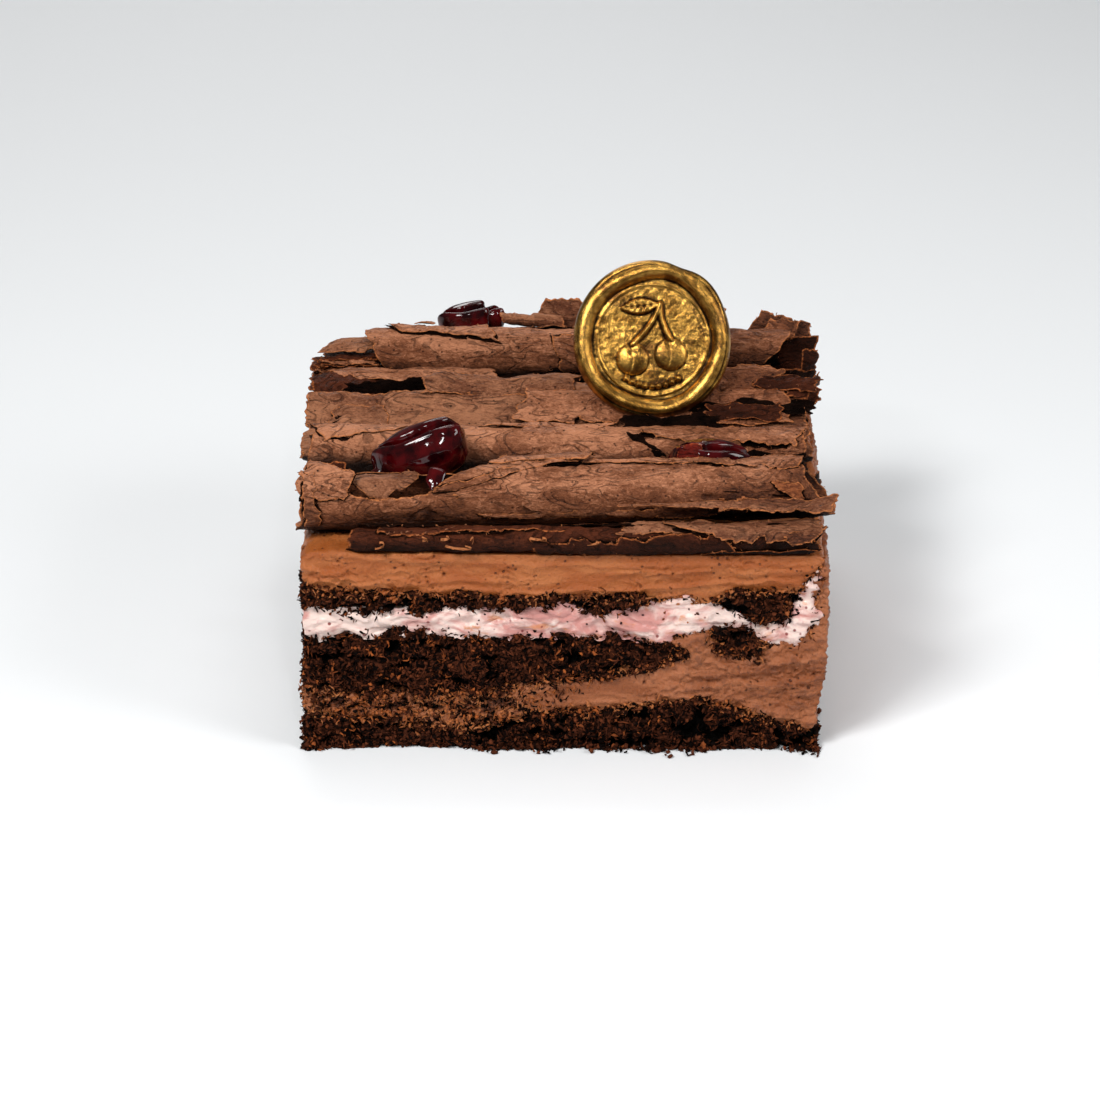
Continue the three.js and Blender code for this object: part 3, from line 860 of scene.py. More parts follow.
@dataclass
class CutLayer:
    """One layer of the block, from the cut front to the back."""

    node: str
    kind: LayerKind
    material: Material
    spacing: float
    grow: float
    wander: float
    stand_out: float
    seed: int
    show_top: bool = False
    crests: tuple[Crest, ...] = ()
    row_step: float = 0.45
    stray_size: tuple[float, float, float] = (3.2, 3.2, 2.4)
    crumbly: tuple[float, float] = (-90.0, -80.0)

    def build(self) -> Piece:
        """Makes the layer and puts it in place of its solid.

        Returns:
            The finished piece.
        """
        rng = np.random.default_rng(self.seed)
        self.noise = Noise(self.seed)
        loop, outer = self._border()
        front, front_faces = fill_outline(loop, self.spacing, rng)
        back, back_faces = fill_outline(loop, self.spacing * 1.9, rng)
        points, faces, facing, margin = self._block(loop, outer, (front, back), (front_faces, back_faces))
        points[:, 2] += self._rise(points)
        relief, tone, sunk = self._relief(points)
        setback = (1.0 - smooth(0.2, 2.0, margin)) * (1.0 - self.stand_out) * 0.5
        seen = points[:, 1] < FRONT + 0.6
        gaps = {key: hump(gap, 0.9) for key, gap in self._gaps(points, loop, outer).items()}
        off_floor = smooth(0.1, 0.5, points[:, 2])
        points = points + facing * (relief - setback)[:, None]
        points[:, 2] = np.maximum(points[:, 2], 0.0)
        weight = np.where(seen, 1.0, 0.32) * off_floor
        values = {"tone": tone, "sunk": sunk, "lay": weight * (1.0 - 0.75 * sunk)}
        for key, near in gaps.items():
            values[key] = near * weight
        values["edge"] = np.maximum(values["edge"], 0.8 * self._mixed(points) * weight)
        piece = make_mesh(self.node + "_cut", points, faces, self.material, values)
        return settle(piece, self.kind.value, self.node)

    def _mixed(self, points: Array) -> Array:
        """How much the layer is mixed with crumbs, more towards its left."""
        return smooth(self.crumbly[1], self.crumbly[0], points[:, 0])

    def _border(self) -> tuple[Array, Array]:
        """The layer's uneven outline, and which of its points lie on the block's outside.

        Returns:
            The outline, and a yes or no for each point.
        """
        exact = resample(front_outline(self.node), self.spacing * 1.2)
        rounded = blurred(exact, max(1, round(0.9 / self.spacing)))
        left = exact[:, 0] < LEFT + 0.7
        right = exact[:, 0] > self._right_wall(exact[:, 1]) - 1.0
        top = (exact[:, 1] > BLOCK_HEIGHT - 1.0) & self.show_top
        outer = left | right | top
        ground = exact[:, 1] < 0.05
        place = np.column_stack([rounded[:, 0], np.zeros(len(rounded)), rounded[:, 1]])
        stray = self.wander * self.noise.fractal(place, self.stray_size, 4, 0.6)
        reach = np.where(outer | ground, 0.15, self.grow + stray)
        loop = rounded + outward(rounded) * reach[:, None]
        loop[:, 1] = np.maximum(loop[:, 1], 0.0)
        loop[ground, 1] = 0.0
        loop[:, 0] = np.maximum(loop[:, 0], LEFT)
        return loop, outer

    @staticmethod
    def _gaps(points: Array, loop: Array, outer: Array) -> dict[str, Array]:
        """How far each point lies from its layer's edge, and from its top and its underside.

        Args:
            points: Points of the layer.
            loop: Its outline.
            outer: Which points of that lie on the block's outside.

        Returns:
            Distances by name.
        """
        up = outward(loop)[:, 1]
        flat = points[:, [0, 2]]
        sides = {"edge": ~outer, "edge_above": ~outer & (up > 0.0), "edge_below": ~outer & (up < 0.0)
            & (loop[:, 1] > 0.1)}
        return {key: np.sqrt(nearest(flat, loop[side][::2])) for key, side in sides.items()}

    @staticmethod
    def _right_wall(up: Array) -> Array:
        """How far out the block's right side lies at a height."""
        places = [49.6, 49.6, 50.8, 51.6, 51.9, 51.3, 50.4]
        return np.interp(up, [0.0, 4.2, 10.0, 20.0, 30.0, 40.0, 42.0], places)

    def _block(self, loop: Array, outer: Array, flats: tuple,
            fills: tuple) -> tuple[Array, list, Array, Array]:
        """Joins a front, a back and the sides between them into one closed mesh.

        Args:
            loop: The outline.
            outer: Which of its points lie on the block's outside.
            flats: The points that fill the outline at the front and at the back, with its own first.
            fills: The faces that fill it there.

        Returns:
            Points, faces, the way each point faces, and its distance to the next layer.
        """
        ring, count = len(loop), len(flats[0])
        out = outward(loop)
        sideways = np.column_stack([out[:, 0], np.zeros(ring), out[:, 1]])
        points, facing, margin = [], [], []
        for flat, depth, way in zip(flats, (FRONT, BACK), (-1.0, 1.0)):
            points.append(np.column_stack([flat[:, 0], np.full(len(flat), depth), flat[:, 1]]))
            faced = np.tile([0.0, way, 0.0], (len(flat), 1))
            faced[:ring] = unit(faced[:ring] + sideways * outer[:, None])
            facing.append(faced)
            margin.append(np.sqrt(nearest(flat, loop[~outer][::2], 81.0)))
        faces = [[*face] for face in fills[0]]
        faces += [[index + count for index in reversed(face)] for face in fills[1]]
        stations = np.linspace(FRONT, BACK, round(BLOCK_DEPTH / self.row_step) + 1)[1:-1]
        chains, total = [], count + len(flats[1])
        for index in range(ring):
            chain = [index]
            if outer[index]:
                column = np.tile([loop[index, 0], 0.0, loop[index, 1]], (len(stations), 1))
                column[:, 1] = stations
                points.append(column)
                facing.append(np.tile(sideways[index], (len(stations), 1)))
                margin.append(np.full(len(stations), margin[0][index]))
                chain += range(total, total + len(stations))
                total += len(stations)
            chains.append(chain + [index + count])
        for index in range(ring):
            here, there = chains[index], chains[(index + 1) % ring]
            if len(here) == len(there) and len(here) > 2:
                faces += [[here[k + 1], there[k + 1], there[k], here[k]] for k in range(len(here) - 1)]
            else:
                faces.append([*reversed(here), *there])
        return np.vstack(points), faces, np.vstack(facing), np.concatenate(margin)

    @staticmethod
    def _rise(points: Array) -> Array:
        """How far the layers rise and fall together inside the block.

        Args:
            points: Points of the layer.

        Returns:
            One height for each point.
        """
        share = points[:, 2] / BLOCK_HEIGHT
        inside = 4.0 * share * (1.0 - share)
        behind = (points[:, 1] - FRONT) / BLOCK_DEPTH
        return LAYER_WAVE * inside * behind * uneven(points[:, 1] / 20.0, 2)

    def _tangle(self, points: Array) -> tuple[Array, Array]:
        """Strands of crumb that cross each other, and the holes between them, 0 to 1.

        Args:
            points: Points of the cut.

        Returns:
            Both, for each point.
        """
        noise = self.noise
        bent = points + 0.9 * np.stack([noise.at(points + k, 1.9) for k in (0.0, 31.0, 57.0)], -1)
        low, high = noise.ridged(bent, (2.3, 1.9, 1.3)), noise.ridged(bent + 20.0, (1.5, 1.6, 2.2))
        strands = 0.7 * np.maximum(low, high) ** 4 + 0.3 * noise.ridged(bent + 40.0, 0.75) ** 3
        return strands, smooth(0.05, 0.55, noise.fractal(points, (2.7, 2.7, 1.8), 3, 0.55))

    def _relief(self, points: Array) -> tuple[Array, Array, Array]:
        """The surface's height over the cut plane, by what the layer is made of.

        Args:
            points: Points of the cut.

        Returns:
            The height, how brown the crumb is, and how deep in a hole each point lies, which the materials
            paint darker as painted shade.
        """
        noise, count = self.noise, len(points)
        if self.kind is LayerKind.SPONGE:
            strands, holes = self._tangle(points)
            clumps = 0.5 * noise.fractal(points, 4.6, 2) + 0.25 * noise.at(points + 9.0, 1.8)
            relief = clumps + 0.7 * strands - 2.2 * holes * (1.0 - 0.35 * strands)
            # The sponge's tone is lighter on raised strands and darker in holes: browner strands, in part
            # painted light, and painted shade in the holes.
            return relief, np.clip(0.1 + 0.7 * strands - 0.5 * holes, 0.0, 1.0), holes
        swept = points + 1.6 * noise.at(points, 9.0)[:, None] * [0.0, 0.0, 1.0]
        if self.kind is LayerKind.CREAM:
            strands = noise.fractal(swept, (3.8, 3.8, 1.9), 3, 0.5)
            folds = noise.ridged(swept + 15.0, (5.0, 5.0, 2.2)) ** 3
            pinker = smooth(-34.0, 6.0, points[:, 0]) - 0.7 * smooth(14.0, 32.0, points[:, 0])
            return 0.1 + 0.6 * strands - 0.5 * folds, pinker, np.zeros(count)
        smears = noise.fractal(swept, (20.0, 20.0, 4.4), 3, 0.4)
        lines = smooth(0.9, 1.0, noise.ridged(swept, (11.0, 11.0, 3.4)))
        airy = smooth(-0.1, 0.5, noise.at(points, 9.0) + smooth(-36.0, -46.0, points[:, 0]))
        bent = points + 0.25 * noise.at(points, 0.8)[:, None]
        bubbles = np.maximum(noise.pits(bent, 2.6, 0.3), noise.pits(bent + 7.0, 1.4, 0.6) * airy)
        curls = noise.ridged(bent + 1.2 * noise.at(points, 2.6)[:, None], (1.9, 1.9, 1.3)) ** 5
        crests = np.zeros(count)
        for crest in self.crests:
            crests += crest.height(points, noise)
        rough = 0.12 * noise.fractal(swept + 8.0, (2.0, 2.0, 1.4), 3, 0.7)
        relief = 0.26 * smears + 0.14 * lines + rough + crests - 0.7 * bubbles
        relief += 0.5 * airy * curls
        mixed = self._mixed(points)
        if mixed.max() <= 0.0:
            return relief, np.zeros(count), 0.8 * bubbles
        coarse = smooth(8.0, 26.0, points[:, 0]) * noise.fractal(bent + 60.0, (1.7, 1.7, 1.0), 3, 0.6)
        relief += 0.42 * coarse
        bubbles = np.maximum(bubbles, 0.5 * smooth(0.36, 0.66, coarse))
        strands, holes = self._tangle(points)
        relief += mixed * (0.5 * strands - 1.1 * holes)
        return relief, np.zeros(count), np.maximum(0.8 * bubbles, 0.9 * mixed * holes)


# ---- crumbs on the sponge

class ScatterInput(Enum):
    """The inputs of the scatter tree, each with its name and its kind of socket."""

    DENSITY = ("Pieces per square metre", "Float")
    SMALLEST = ("Smallest scale", "Float")
    LARGEST = ("Largest scale", "Float")
    TILT = ("Tilt", "Float")
    SEED = ("Seed", "Int")
    SHAPES = ("Shapes", "Collection")
    MASK = ("Mask", "String")
    FINISH = ("Finish", "Material")


class ScatterTree:
    """A Geometry Nodes tree that lays many small shapes over a surface."""

    def __init__(self) -> None:
        """Builds the tree."""
        self.tree = bpy.data.node_groups.new("scatter_bits", "GeometryNodeTree")
        face = self.tree.interface
        face.new_socket("Geometry", in_out="INPUT", socket_type="NodeSocketGeometry")
        self.keys = {}
        for item in ScatterInput:
            name, kind = item.value
            socket = face.new_socket(name, in_out="INPUT", socket_type="NodeSocket" + kind)
            self.keys[item] = socket.identifier
        face.new_socket("Geometry", in_out="OUTPUT", socket_type="NodeSocketGeometry")
        self._write()

    def _write(self) -> None:
        """Adds the nodes: points on faces, shapes on points, realized and given a finish."""
        write = NodeWriter(self.tree)
        given = write.add("NodeGroupInput").outputs
        density, smallest, largest, tilt, seed, shapes, mask, finish = (given[item.value[0]]
            for item in ScatterInput)
        mask = write.add("GeometryNodeInputNamedAttribute", {"Name": mask}, data_type="FLOAT")
        density = write.math("MULTIPLY", mask.outputs["Attribute"], density)
        spread = write.add("GeometryNodeDistributePointsOnFaces",
            {"Mesh": given["Geometry"], "Density": density, "Seed": seed})
        turn = self._random(write, 0.0, math.tau, seed, 1)
        lean = self._random(write, write.math("MULTIPLY", tilt, -1.0), tilt, seed, 2)
        angles = write.add("ShaderNodeCombineXYZ", {"X": lean, "Z": turn})
        by = write.add("FunctionNodeEulerToRotation", {"Euler": angles.outputs[0]})
        turned = write.add("FunctionNodeRotateRotation", {"Rotation": spread.outputs["Rotation"],
            "Rotate By": by.outputs[0]}, rotation_space="LOCAL")
        size = self._random(write, smallest, largest, seed, 3)
        kinds = write.add("GeometryNodeCollectionInfo", {"Collection": shapes, "Separate Children": True,
            "Reset Children": True})
        laid = write.add("GeometryNodeInstanceOnPoints",
            {"Points": spread.outputs["Points"], "Instance": kinds.outputs[0], "Pick Instance": True,
            "Rotation": turned.outputs[0], "Scale": size})
        tone = write.add("GeometryNodeStoreNamedAttribute", {"Geometry": laid.outputs[0], "Name": "tone",
            "Value": self._random(write, 0.0, 1.0, seed, 4)}, data_type="FLOAT", domain="INSTANCE")
        real = write.add("GeometryNodeRealizeInstances", {"Geometry": tone.outputs[0]})
        dressed = write.add("GeometryNodeSetMaterial", {"Geometry": real.outputs[0], "Material": finish})
        write.add("NodeGroupOutput", {"Geometry": dressed.outputs[0]})

    @staticmethod
    def _random(write: NodeWriter, low: object, high: object, seed: object, salt: int) -> Socket:
        """A random number for each point, drawn from the tree's seed and its own salt."""
        drawn = {2: low, 3: high, "Seed": write.math("ADD", seed, float(salt * 101))}
        return write.add("FunctionNodeRandomValue", drawn, data_type="FLOAT").outputs[1]

    def lay(self, name: str, surface: Piece, kinds: Collection, finish: Material, density: float, mask: str,
            seed: int, scales: tuple[float, float] = (0.45, 1.05), tilt: float = 0.6) -> Piece:
        """Lays small shapes over a surface and keeps them as a plain mesh.

        Args:
            name: The new piece's name.
            surface: What they lie on. It isn't changed.
            kinds: The shapes to lay.
            finish: Their material.
            density: How many lie on a square metre.
            mask: The surface's own number that says where they lie.
            seed: Draws their places.
            scales: The smallest and the largest scale.
            tilt: How far they lean, in radians.

        Returns:
            The new piece, at the origin.
        """
        carrier = show(name + "_carrier", surface.data)
        modifier = carrier.modifiers.new("scatter", "NODES")
        modifier.node_group = self.tree
        values = (density, *scales, tilt, seed, kinds, mask, finish)
        for item, value in zip(ScatterInput, values):
            modifier[self.keys[item]] = value
        evaluated = carrier.evaluated_get(bpy.context.evaluated_depsgraph_get())
        mesh = bpy.data.meshes.new_from_object(evaluated)
        mesh.name = name
        carrier.modifiers.clear()
        bpy.data.objects.remove(carrier)
        places = np.empty(3 * len(mesh.vertices))
        mesh.vertices.foreach_get("co", places)
        places[2::3] = np.maximum(places[2::3], 0.0)
        mesh.vertices.foreach_set("co", places)
        mesh.shade_smooth()
        return show(name, mesh)


def shape_collection(name: str, shapes: list[tuple[Array, list]]) -> Collection:
    """Keeps small shapes, in millimetres about the origin, for a scatter tree to lay.

    Args:
        name: The collection's name.
        shapes: Points and faces of each.

    Returns:
        The collection, which isn't linked to the scene.
    """
    group = bpy.data.collections.new(name)
    for number, (points, faces) in enumerate(shapes):
        mesh = bpy.data.meshes.new(f"{name}_{number}")
        mesh.from_pydata((points * MM).tolist(), [], faces)
        group.objects.link(bpy.data.objects.new(f"{name}_{number}", mesh))
    return group


def drop_collection(group: Collection) -> None:
    """Removes a collection and the shapes in it.

    Args:
        group: The collection.
    """
    for shape in list(group.objects):
        bpy.data.objects.remove(shape)
    bpy.data.collections.remove(group)


def open_skin(piece: Piece) -> Piece:
    """A copy of a layer without the long faces inside the block, where nothing lies.

    Args:
        piece: The layer.

    Returns:
        The copy.
    """
    longest = 3.0 * MM * MM
    work = bmesh.new()
    work.from_mesh(piece.data)
    inside = [face for face in work.faces if face.calc_area() > longest]
    bmesh.ops.delete(work, geom=inside, context="FACES_ONLY")
    mesh = bpy.data.meshes.new("open_skin")
    work.to_mesh(mesh)
    work.free()
    return bpy.data.objects.new("open_skin", mesh)


def shred(rng: Generator, length: float, thickness: float, bend: float = 2.4) -> tuple[Array, list]:
    """One bent shred of crumb, thick in the middle and pointed at its ends.

    Args:
        rng: Draws its bends.
        length: Its length along the bends.
        thickness: Its thickness in the middle.
        bend: How far it turns at most, in radians.

    Returns:
        Points in millimetres and faces.
    """
    steps, sides = 5, 3
    turning = rng.choice([-1.0, 1.0]) * rng.uniform(0.2, 1.0) * bend / steps
    lifting = rng.uniform(-1.2, 1.2) / steps
    heading, climb = rng.uniform(0, math.tau), rng.uniform(-0.5, 0.5)
    place, line = np.zeros(3), []
    for _ in range(steps + 1):
        line.append(place.copy())
        step = [math.cos(heading) * math.cos(climb), math.sin(heading) * math.cos(climb), math.sin(climb)]
        place += np.array(step) * length / steps
        heading += turning + rng.uniform(-0.5, 0.5)
        climb += lifting
    line = np.array(line) - np.mean(line, axis=0)
    points = [line[0]]
    for number in range(1, steps):
        radius = thickness / 2 * rng.uniform(0.65, 1.35)
        ahead = line[number + 1] - line[number - 1]
        right = unit(np.cross(ahead, [0.0, 0.0, 1.0]))
        over = unit(np.cross(right, ahead))
        for side in range(sides):
            angle = math.tau * side / sides + rng.uniform(-0.4, 0.4)
            points.append(line[number] + radius * (right * math.cos(angle) + over * math.sin(angle)))
    points.append(line[-1])
    return np.array(points), capped(sides, steps - 1)


def crumb(rng: Generator, size: float) -> tuple[Array, list]:
    """One rough lump, from a ball whose points are pushed about.

    Args:
        rng: Draws how they are pushed.
        size: About how wide it is.

    Returns:
        Points in millimetres and faces.
    """
    work = bmesh.new()
    bmesh.ops.create_icosphere(work, subdivisions=1, radius=size / 2)
    points = np.array([vertex.co for vertex in work.verts])
    faces = [[vertex.index for vertex in face.verts] for face in work.faces]
    work.free()
    points *= rng.uniform(0.6, 1.35, (len(points), 1)) * rng.uniform(0.7, 1.2, 3)
    return points, faces


# ---- chocolate sheets

class SheetShape:
    """The middle surface of a sheet, which maps u and v, from 0 to 1, to a place."""

    def place(self, u: Array, v: Array) -> Array:
        """Where the sheet is at u along its length and v across it."""
        raise NotImplementedError

    def reach(self) -> tuple[float, float]:
        """The sheet's length and its width along the bends.

        Returns:
            Both, in millimetres.
        """
        t = np.linspace(0.0, 1.0, 60)
        half = np.full(60, 0.5)
        along, across = self.place(t, half), self.place(half, t)
        lengths = [np.linalg.norm(np.diff(line, axis=0), axis=1).sum() for line in (along, across)]
        return float(lengths[0]), float(lengths[1])


@dataclass
class Roll(SheetShape):
    """A sheet rolled about a line along the cake. Angles are degrees: 0 front, 90 up."""

    y: tuple[float, float]
    z: tuple[float, float]
    radius: tuple[float, float]
    inner: float
    rim: float
    pitch: float
    seed: float
    left: tuple[float, float]
    right: tuple[float, float]
    ragged: float
    outer: Edge

    def radius_at(self, u: Array, angle: Array) -> Array:
        """How far the sheet lies from the line at u along it and at an angle."""
        return lerp(*self.radius, u) - self.pitch * np.abs(self.rim - angle) / 360.0

    def place(self, u: Array, v: Array) -> Array:
        """Where the sheet is.

        Args:
            u: Along the roll.
            v: From its inner edge.

        Returns:
            Rows of x, y, z in millimetres.
        """
        angle = self.inner + (self.outer(u) - self.inner) * v
        radius = self.radius_at(u, angle)
        turned = np.radians(angle)
        height, forward = np.sin(turned), np.cos(turned)
        stray = self.ragged * uneven(angle / 40.0, self.seed)
        low = self.left[0] + self.left[1] * (1.0 - height) / 2.0 + stray
        high = self.right[0] + self.right[1] * (1.0 - height) / 2.0 + stray
        return np.stack([low + (high - low) * u, lerp(*self.y, u) - radius * forward,
            lerp(*self.z, u) + radius * height], -1)


@dataclass
class Skin(SheetShape):
    """A torn layer that lies on a roll and lifts off it towards its free edge."""

    host: Roll
    x: tuple[float, float]
    start: Edge | float
    stop: Edge | float
    clear: float = 0.6
    lift: float = 0.5
    slant: float = 0.0
    shadow: float = 3.0

    def place(self, u: Array, v: Array) -> Array:
        """Where the layer is.

        Args:
            u: Along the roll.
            v: From the held edge to the free one.

        Returns:
            Rows of x, y, z in millimetres.
        """
        start, stop = self._edges(u)
        angle = start + (stop - start) * v
        across = lerp(*self.x, u) + self.slant * (v - 0.5)
        share = (across - self.host.left[0]) / (self.host.right[0] - self.host.left[0])
        radius = self.host.radius_at(share, angle) + self.clear + self.lift * v ** 2
        turned = np.radians(angle)
        return np.stack([across, lerp(*self.host.y, share) - radius * np.cos(turned),
            lerp(*self.host.z, share) + radius * np.sin(turned)], -1)

    def _edges(self, u: Array) -> tuple:
        """The angles of the held edge and the free edge at u."""
        return tuple(edge(u) if callable(edge) else edge for edge in (self.start, self.stop))

    def _past(self, u: Array) -> Array:
        """The angle of a line a little past the free edge, at u."""
        start, stop = self._edges(u)
        return stop + np.sign(stop - start) * self.shadow

    def gap(self) -> "Skin":
        """A near-black sheet just under and past the layer's torn edges: a painted shadow where the layer
        lifts off.
        """
        return Skin(self.host, self.x, self.start, self._past, self.clear - 0.1, 0.15, self.slant)


@dataclass
class Strip(SheetShape):
    """A sheet that follows a bent section, given as [y, z] knots, along the cake."""

    section: list
    x: tuple[float, float]
    slant: tuple[float, float]
    seed: float
    ragged: float
    wave: float = 0.0
    lift: tuple[float, float] = (0.0, 0.0)
    edge: Edge = np.ones_like
    taper: Edge = np.ones_like

    def place(self, u: Array, v: Array) -> Array:
        """Where the sheet is.

        Args:
            u: Along the cake.
            v: Along the section.

        Returns:
            Rows of x, y, z in millimetres.
        """
        v = 1.0 - (1.0 - v) * self.taper(u)
        bent = spline(self.section, v * self.edge(u))
        stray = self.ragged * uneven(v * 4.0, self.seed)
        low = self.x[0] + self.slant[0] * v
        high = self.x[1] + self.slant[1] * v
        wave = self.wave * uneven(u * 5.0, self.seed)
        return np.stack([low + (high - low) * u + stray, bent[..., 0], bent[..., 1] + lerp(*self.lift, u)
            + wave], -1)


@dataclass
class Flake(SheetShape):
    """A torn flake between four corners, bulging in the middle."""

    corners: list
    bulge: float

    def place(self, u: Array, v: Array) -> Array:
        """Where the flake is.

        Args:
            u: Along its foot.
            v: Up from its foot.

        Returns:
            Rows of x, y, z in millimetres.
        """
        a, b, c, d = np.asarray(self.corners, float)
        normal = unit(np.cross(b - a, d - a))
        low = a + (b - a) * u[..., None]
        high = d + (c - d) * u[..., None]
        crown = 4.0 * u * (1.0 - u) + 2.0 * v * (1.0 - v)
        return low + (high - low) * v[..., None] + normal * (self.bulge * crown)[..., None]


@dataclass
class Loop(SheetShape):
    """A narrow shaving bent into an open loop that is seen from the front."""

    middle: tuple[float, float, float]
    sizes: tuple[float, float]
    width: float
    turn: float
    angles: tuple[float, float] = (20.0, 330.0)

    def place(self, u: Array, v: Array) -> Array:
        """Where the shaving is.

        Args:
            u: Along it.
            v: Across it.

        Returns:
            Rows of x, y, z in millimetres.
        """
        angle = np.radians(lerp(*self.angles, u))
        wide, high = self.sizes[0] * np.cos(angle), self.sizes[1] * np.sin(angle) * (0.6 + 0.5 * u)
        turn = math.radians(self.turn)
        x, y, z = self.middle
        return np.stack([x + wide * math.cos(turn) - high * math.sin(turn), y + self.width * (v - 0.5) - 0.3
            * u, z + wide * math.sin(turn) + high * math.cos(turn)], -1)


@dataclass
class ChocolateSheet:
    """A thin sheet of scraped chocolate with torn edges."""

    name: str
    shape: SheetShape
    material: Material
    seed: int
    nodes: tuple[str, ...] = ()
    wall: float = 0.75
    tear: float = 1.1
    spacing: float = 0.42
    buckle: float = 0.34
    curl: float = 0.5
    # How far up the sheet's lower side is painted near black, a painted shade
    dusk: float = -0.35
    # How much darker the sheet is painted towards the right, a painted shade
    rightward_shade: float = 0.62
    slot: str = "curls"

    def build(self) -> Piece:
        """Makes the sheet and puts it in place of its solid, if it has one.

        Returns:
            The finished piece.
        """
        self.noise = Noise(self.seed)
        length, width = self.shape.reach()
        columns = max(10, round(length / self.spacing))
        rows = max(8, round(width / self.spacing))
        u, v = np.meshgrid(np.linspace(0, 1, columns + 1), np.linspace(0, 1, rows + 1), indexing="ij")
        torn_u, torn_v = self._torn(u, v, length, width)
        middle = self.shape.place(torn_u, torn_v)
        facing = self._facing(middle)
        edge = np.minimum(np.minimum(u, 1 - u) * length, np.minimum(v, 1 - v) * width)
        middle = middle + facing * self._relief(middle, edge)[..., None]
        thin = 0.25 + 0.75 * smooth(0.0, 1.8, edge)
        half = 0.5 * self.wall * thin * (1.0 + 0.25 * self.noise.at(middle, 2.2))
        scrape = self._scrape(middle)
        near = middle + facing * (half + scrape)[..., None]
        far = middle - facing * (half - scrape)[..., None]
        points = np.vstack([near.reshape(-1, 3), far.reshape(-1, 3)])
        quads = self._shell(columns, rows)
        turn = 1 if signed_volume(points, quads) > 0 else -1
        quads = quads[:, ::turn]
        torn = np.exp(-edge / 0.5).ravel()
        # The up value lets the material paint each side paler facing up and darker facing down: painted
        # light and shade.
        up = facing[..., 2].ravel() * turn
        both = np.concatenate([up, -up])
        # Sheets are painted darker towards the right by lowering the up value: painted shade.
        rightward_shade = self.rightward_shade * smooth(6.0, 38.0, points[:, 0])
        # The lower sides are painted near black: painted shade.
        values = {"torn": np.concatenate([torn, torn]), "up": both - rightward_shade,
            "dusk": np.clip((self.dusk - both) / 0.5, 0.0, 1.0)}
        piece = make_mesh(self.name, points, quads.tolist(), self.material, values)
        return settle(piece, self.slot, *self.nodes)

    def _torn(self, u: Array, v: Array, length: float, width: float) -> tuple[Array, Array]:
        """Draws the sheet's edges in unevenly, as a tear does.

        Args:
            u: Along the sheet, from 0 to 1.
            v: Across it.
            length: The sheet's length.
            width: Its width.

        Returns:
            The new u and v.
        """
        start, stop = (self._bite(v * width, side) / length for side in (1.0, 2.0))
        low, high = (self._bite(u * length, side) / width for side in (3.0, 4.0))
        limit = 0.3
        start, stop, low, high = (np.minimum(value, limit) for value in (start, stop, low, high))
        return start + (1.0 - start - stop) * u, low + (1.0 - low - high) * v

    def _bite(self, along: Array, side: float) -> Array:
        """How deep the tear goes along one edge.

        Args:
            along: How far along the edge, in millimetres.
            side: Which edge it is, from 1 to 4.

        Returns:
            The depth at each place.
        """
        line = np.stack([along, np.full_like(along, side * 31.7), np.full_like(along, 3.3)], -1)
        rough = 0.5 + 0.5 * self.noise.fractal(line, 7.5, 3, 0.6)
        chips = np.round(2.5 * self.noise.at(line + 5.0, 1.7)) / 2.5
        notch = smooth(0.4, 0.75, self.noise.at(line + 9.0, 3.2))
        crumbled = 0.26 * self.noise.at(line + 2.0, 0.9)
        return self.tear * np.clip(rough + 0.22 * chips + 0.9 * notch + crumbled, 0.0, 2.4)

    @staticmethod
    def _facing(middle: Array) -> Array:
        """The direction out of the middle surface at each point of its grid."""
        return unit(np.cross(np.gradient(middle, axis=0), np.gradient(middle, axis=1)))

    def _relief(self, middle: Array, edge: Array) -> Array:
        """How far the sheet buckles out of its true surface, most along its edges."""
        waves = self.buckle * self.noise.fractal(middle, (13.0, 6.0, 6.0), 3, 0.45)
        return waves + self.curl * self.noise.at(middle + 70.0, 3.6) * np.exp(-edge / 1.4)

    def _scrape(self, middle: Array) -> Array:
        """Shallow curved ridges that the blade left on both sides.

        Args:
            middle: Points of the sheet.

        Returns:
            One height for each point.
        """
        swirl = 3.2 * self.noise.at(middle + 40.0, 9.0)
        swept = middle + swirl[..., None] * [0.4, 0.6, 0.6]
        strokes = smooth(0.72, 1.0, self.noise.ridged(swept, (6.0, 2.6, 2.6)))
        fine = self.noise.fractal(swept, (2.6, 1.1, 1.1), 2, 0.6)
        return 0.17 * strokes + 0.12 * fine

    @staticmethod
    def _shell(columns: int, rows: int) -> Array:
        """Faces of a closed shell whose two sides are grids of points, one after the other.

        Args:
            columns: Faces along it.
            rows: Faces across it.

        Returns:
            Vertex numbers of each face.
        """
        ids = np.arange((columns + 1) * (rows + 1)).reshape(columns + 1, rows + 1)
        other = ids + ids.size
        a, b, c, d = ids[:-1, :-1], ids[1:, :-1], ids[1:, 1:], ids[:-1, 1:]
        near = np.stack([a, b, c, d], -1).reshape(-1, 4)
        far = near[:, [0, 3, 2, 1]] + ids.size
        walls = []
        for line, mate, turn in ((ids[:, 0], other[:, 0], 1), (ids[:, -1], other[:, -1], -1),
                (ids[0], other[0], -1), (ids[-1], other[-1], 1)):
            wall = np.stack([mate[:-1], mate[1:], line[1:], line[:-1]], -1)
            walls.append(wall[:, ::turn])
        return np.vstack([near, far, *walls])


def sloped(low: float, high: float, over: float = 1.0) -> Edge:
    """An edge whose angle goes from low to high over a share of a roll's length."""
    return lambda u: lerp(low, high, smooth(0.0, over, u))


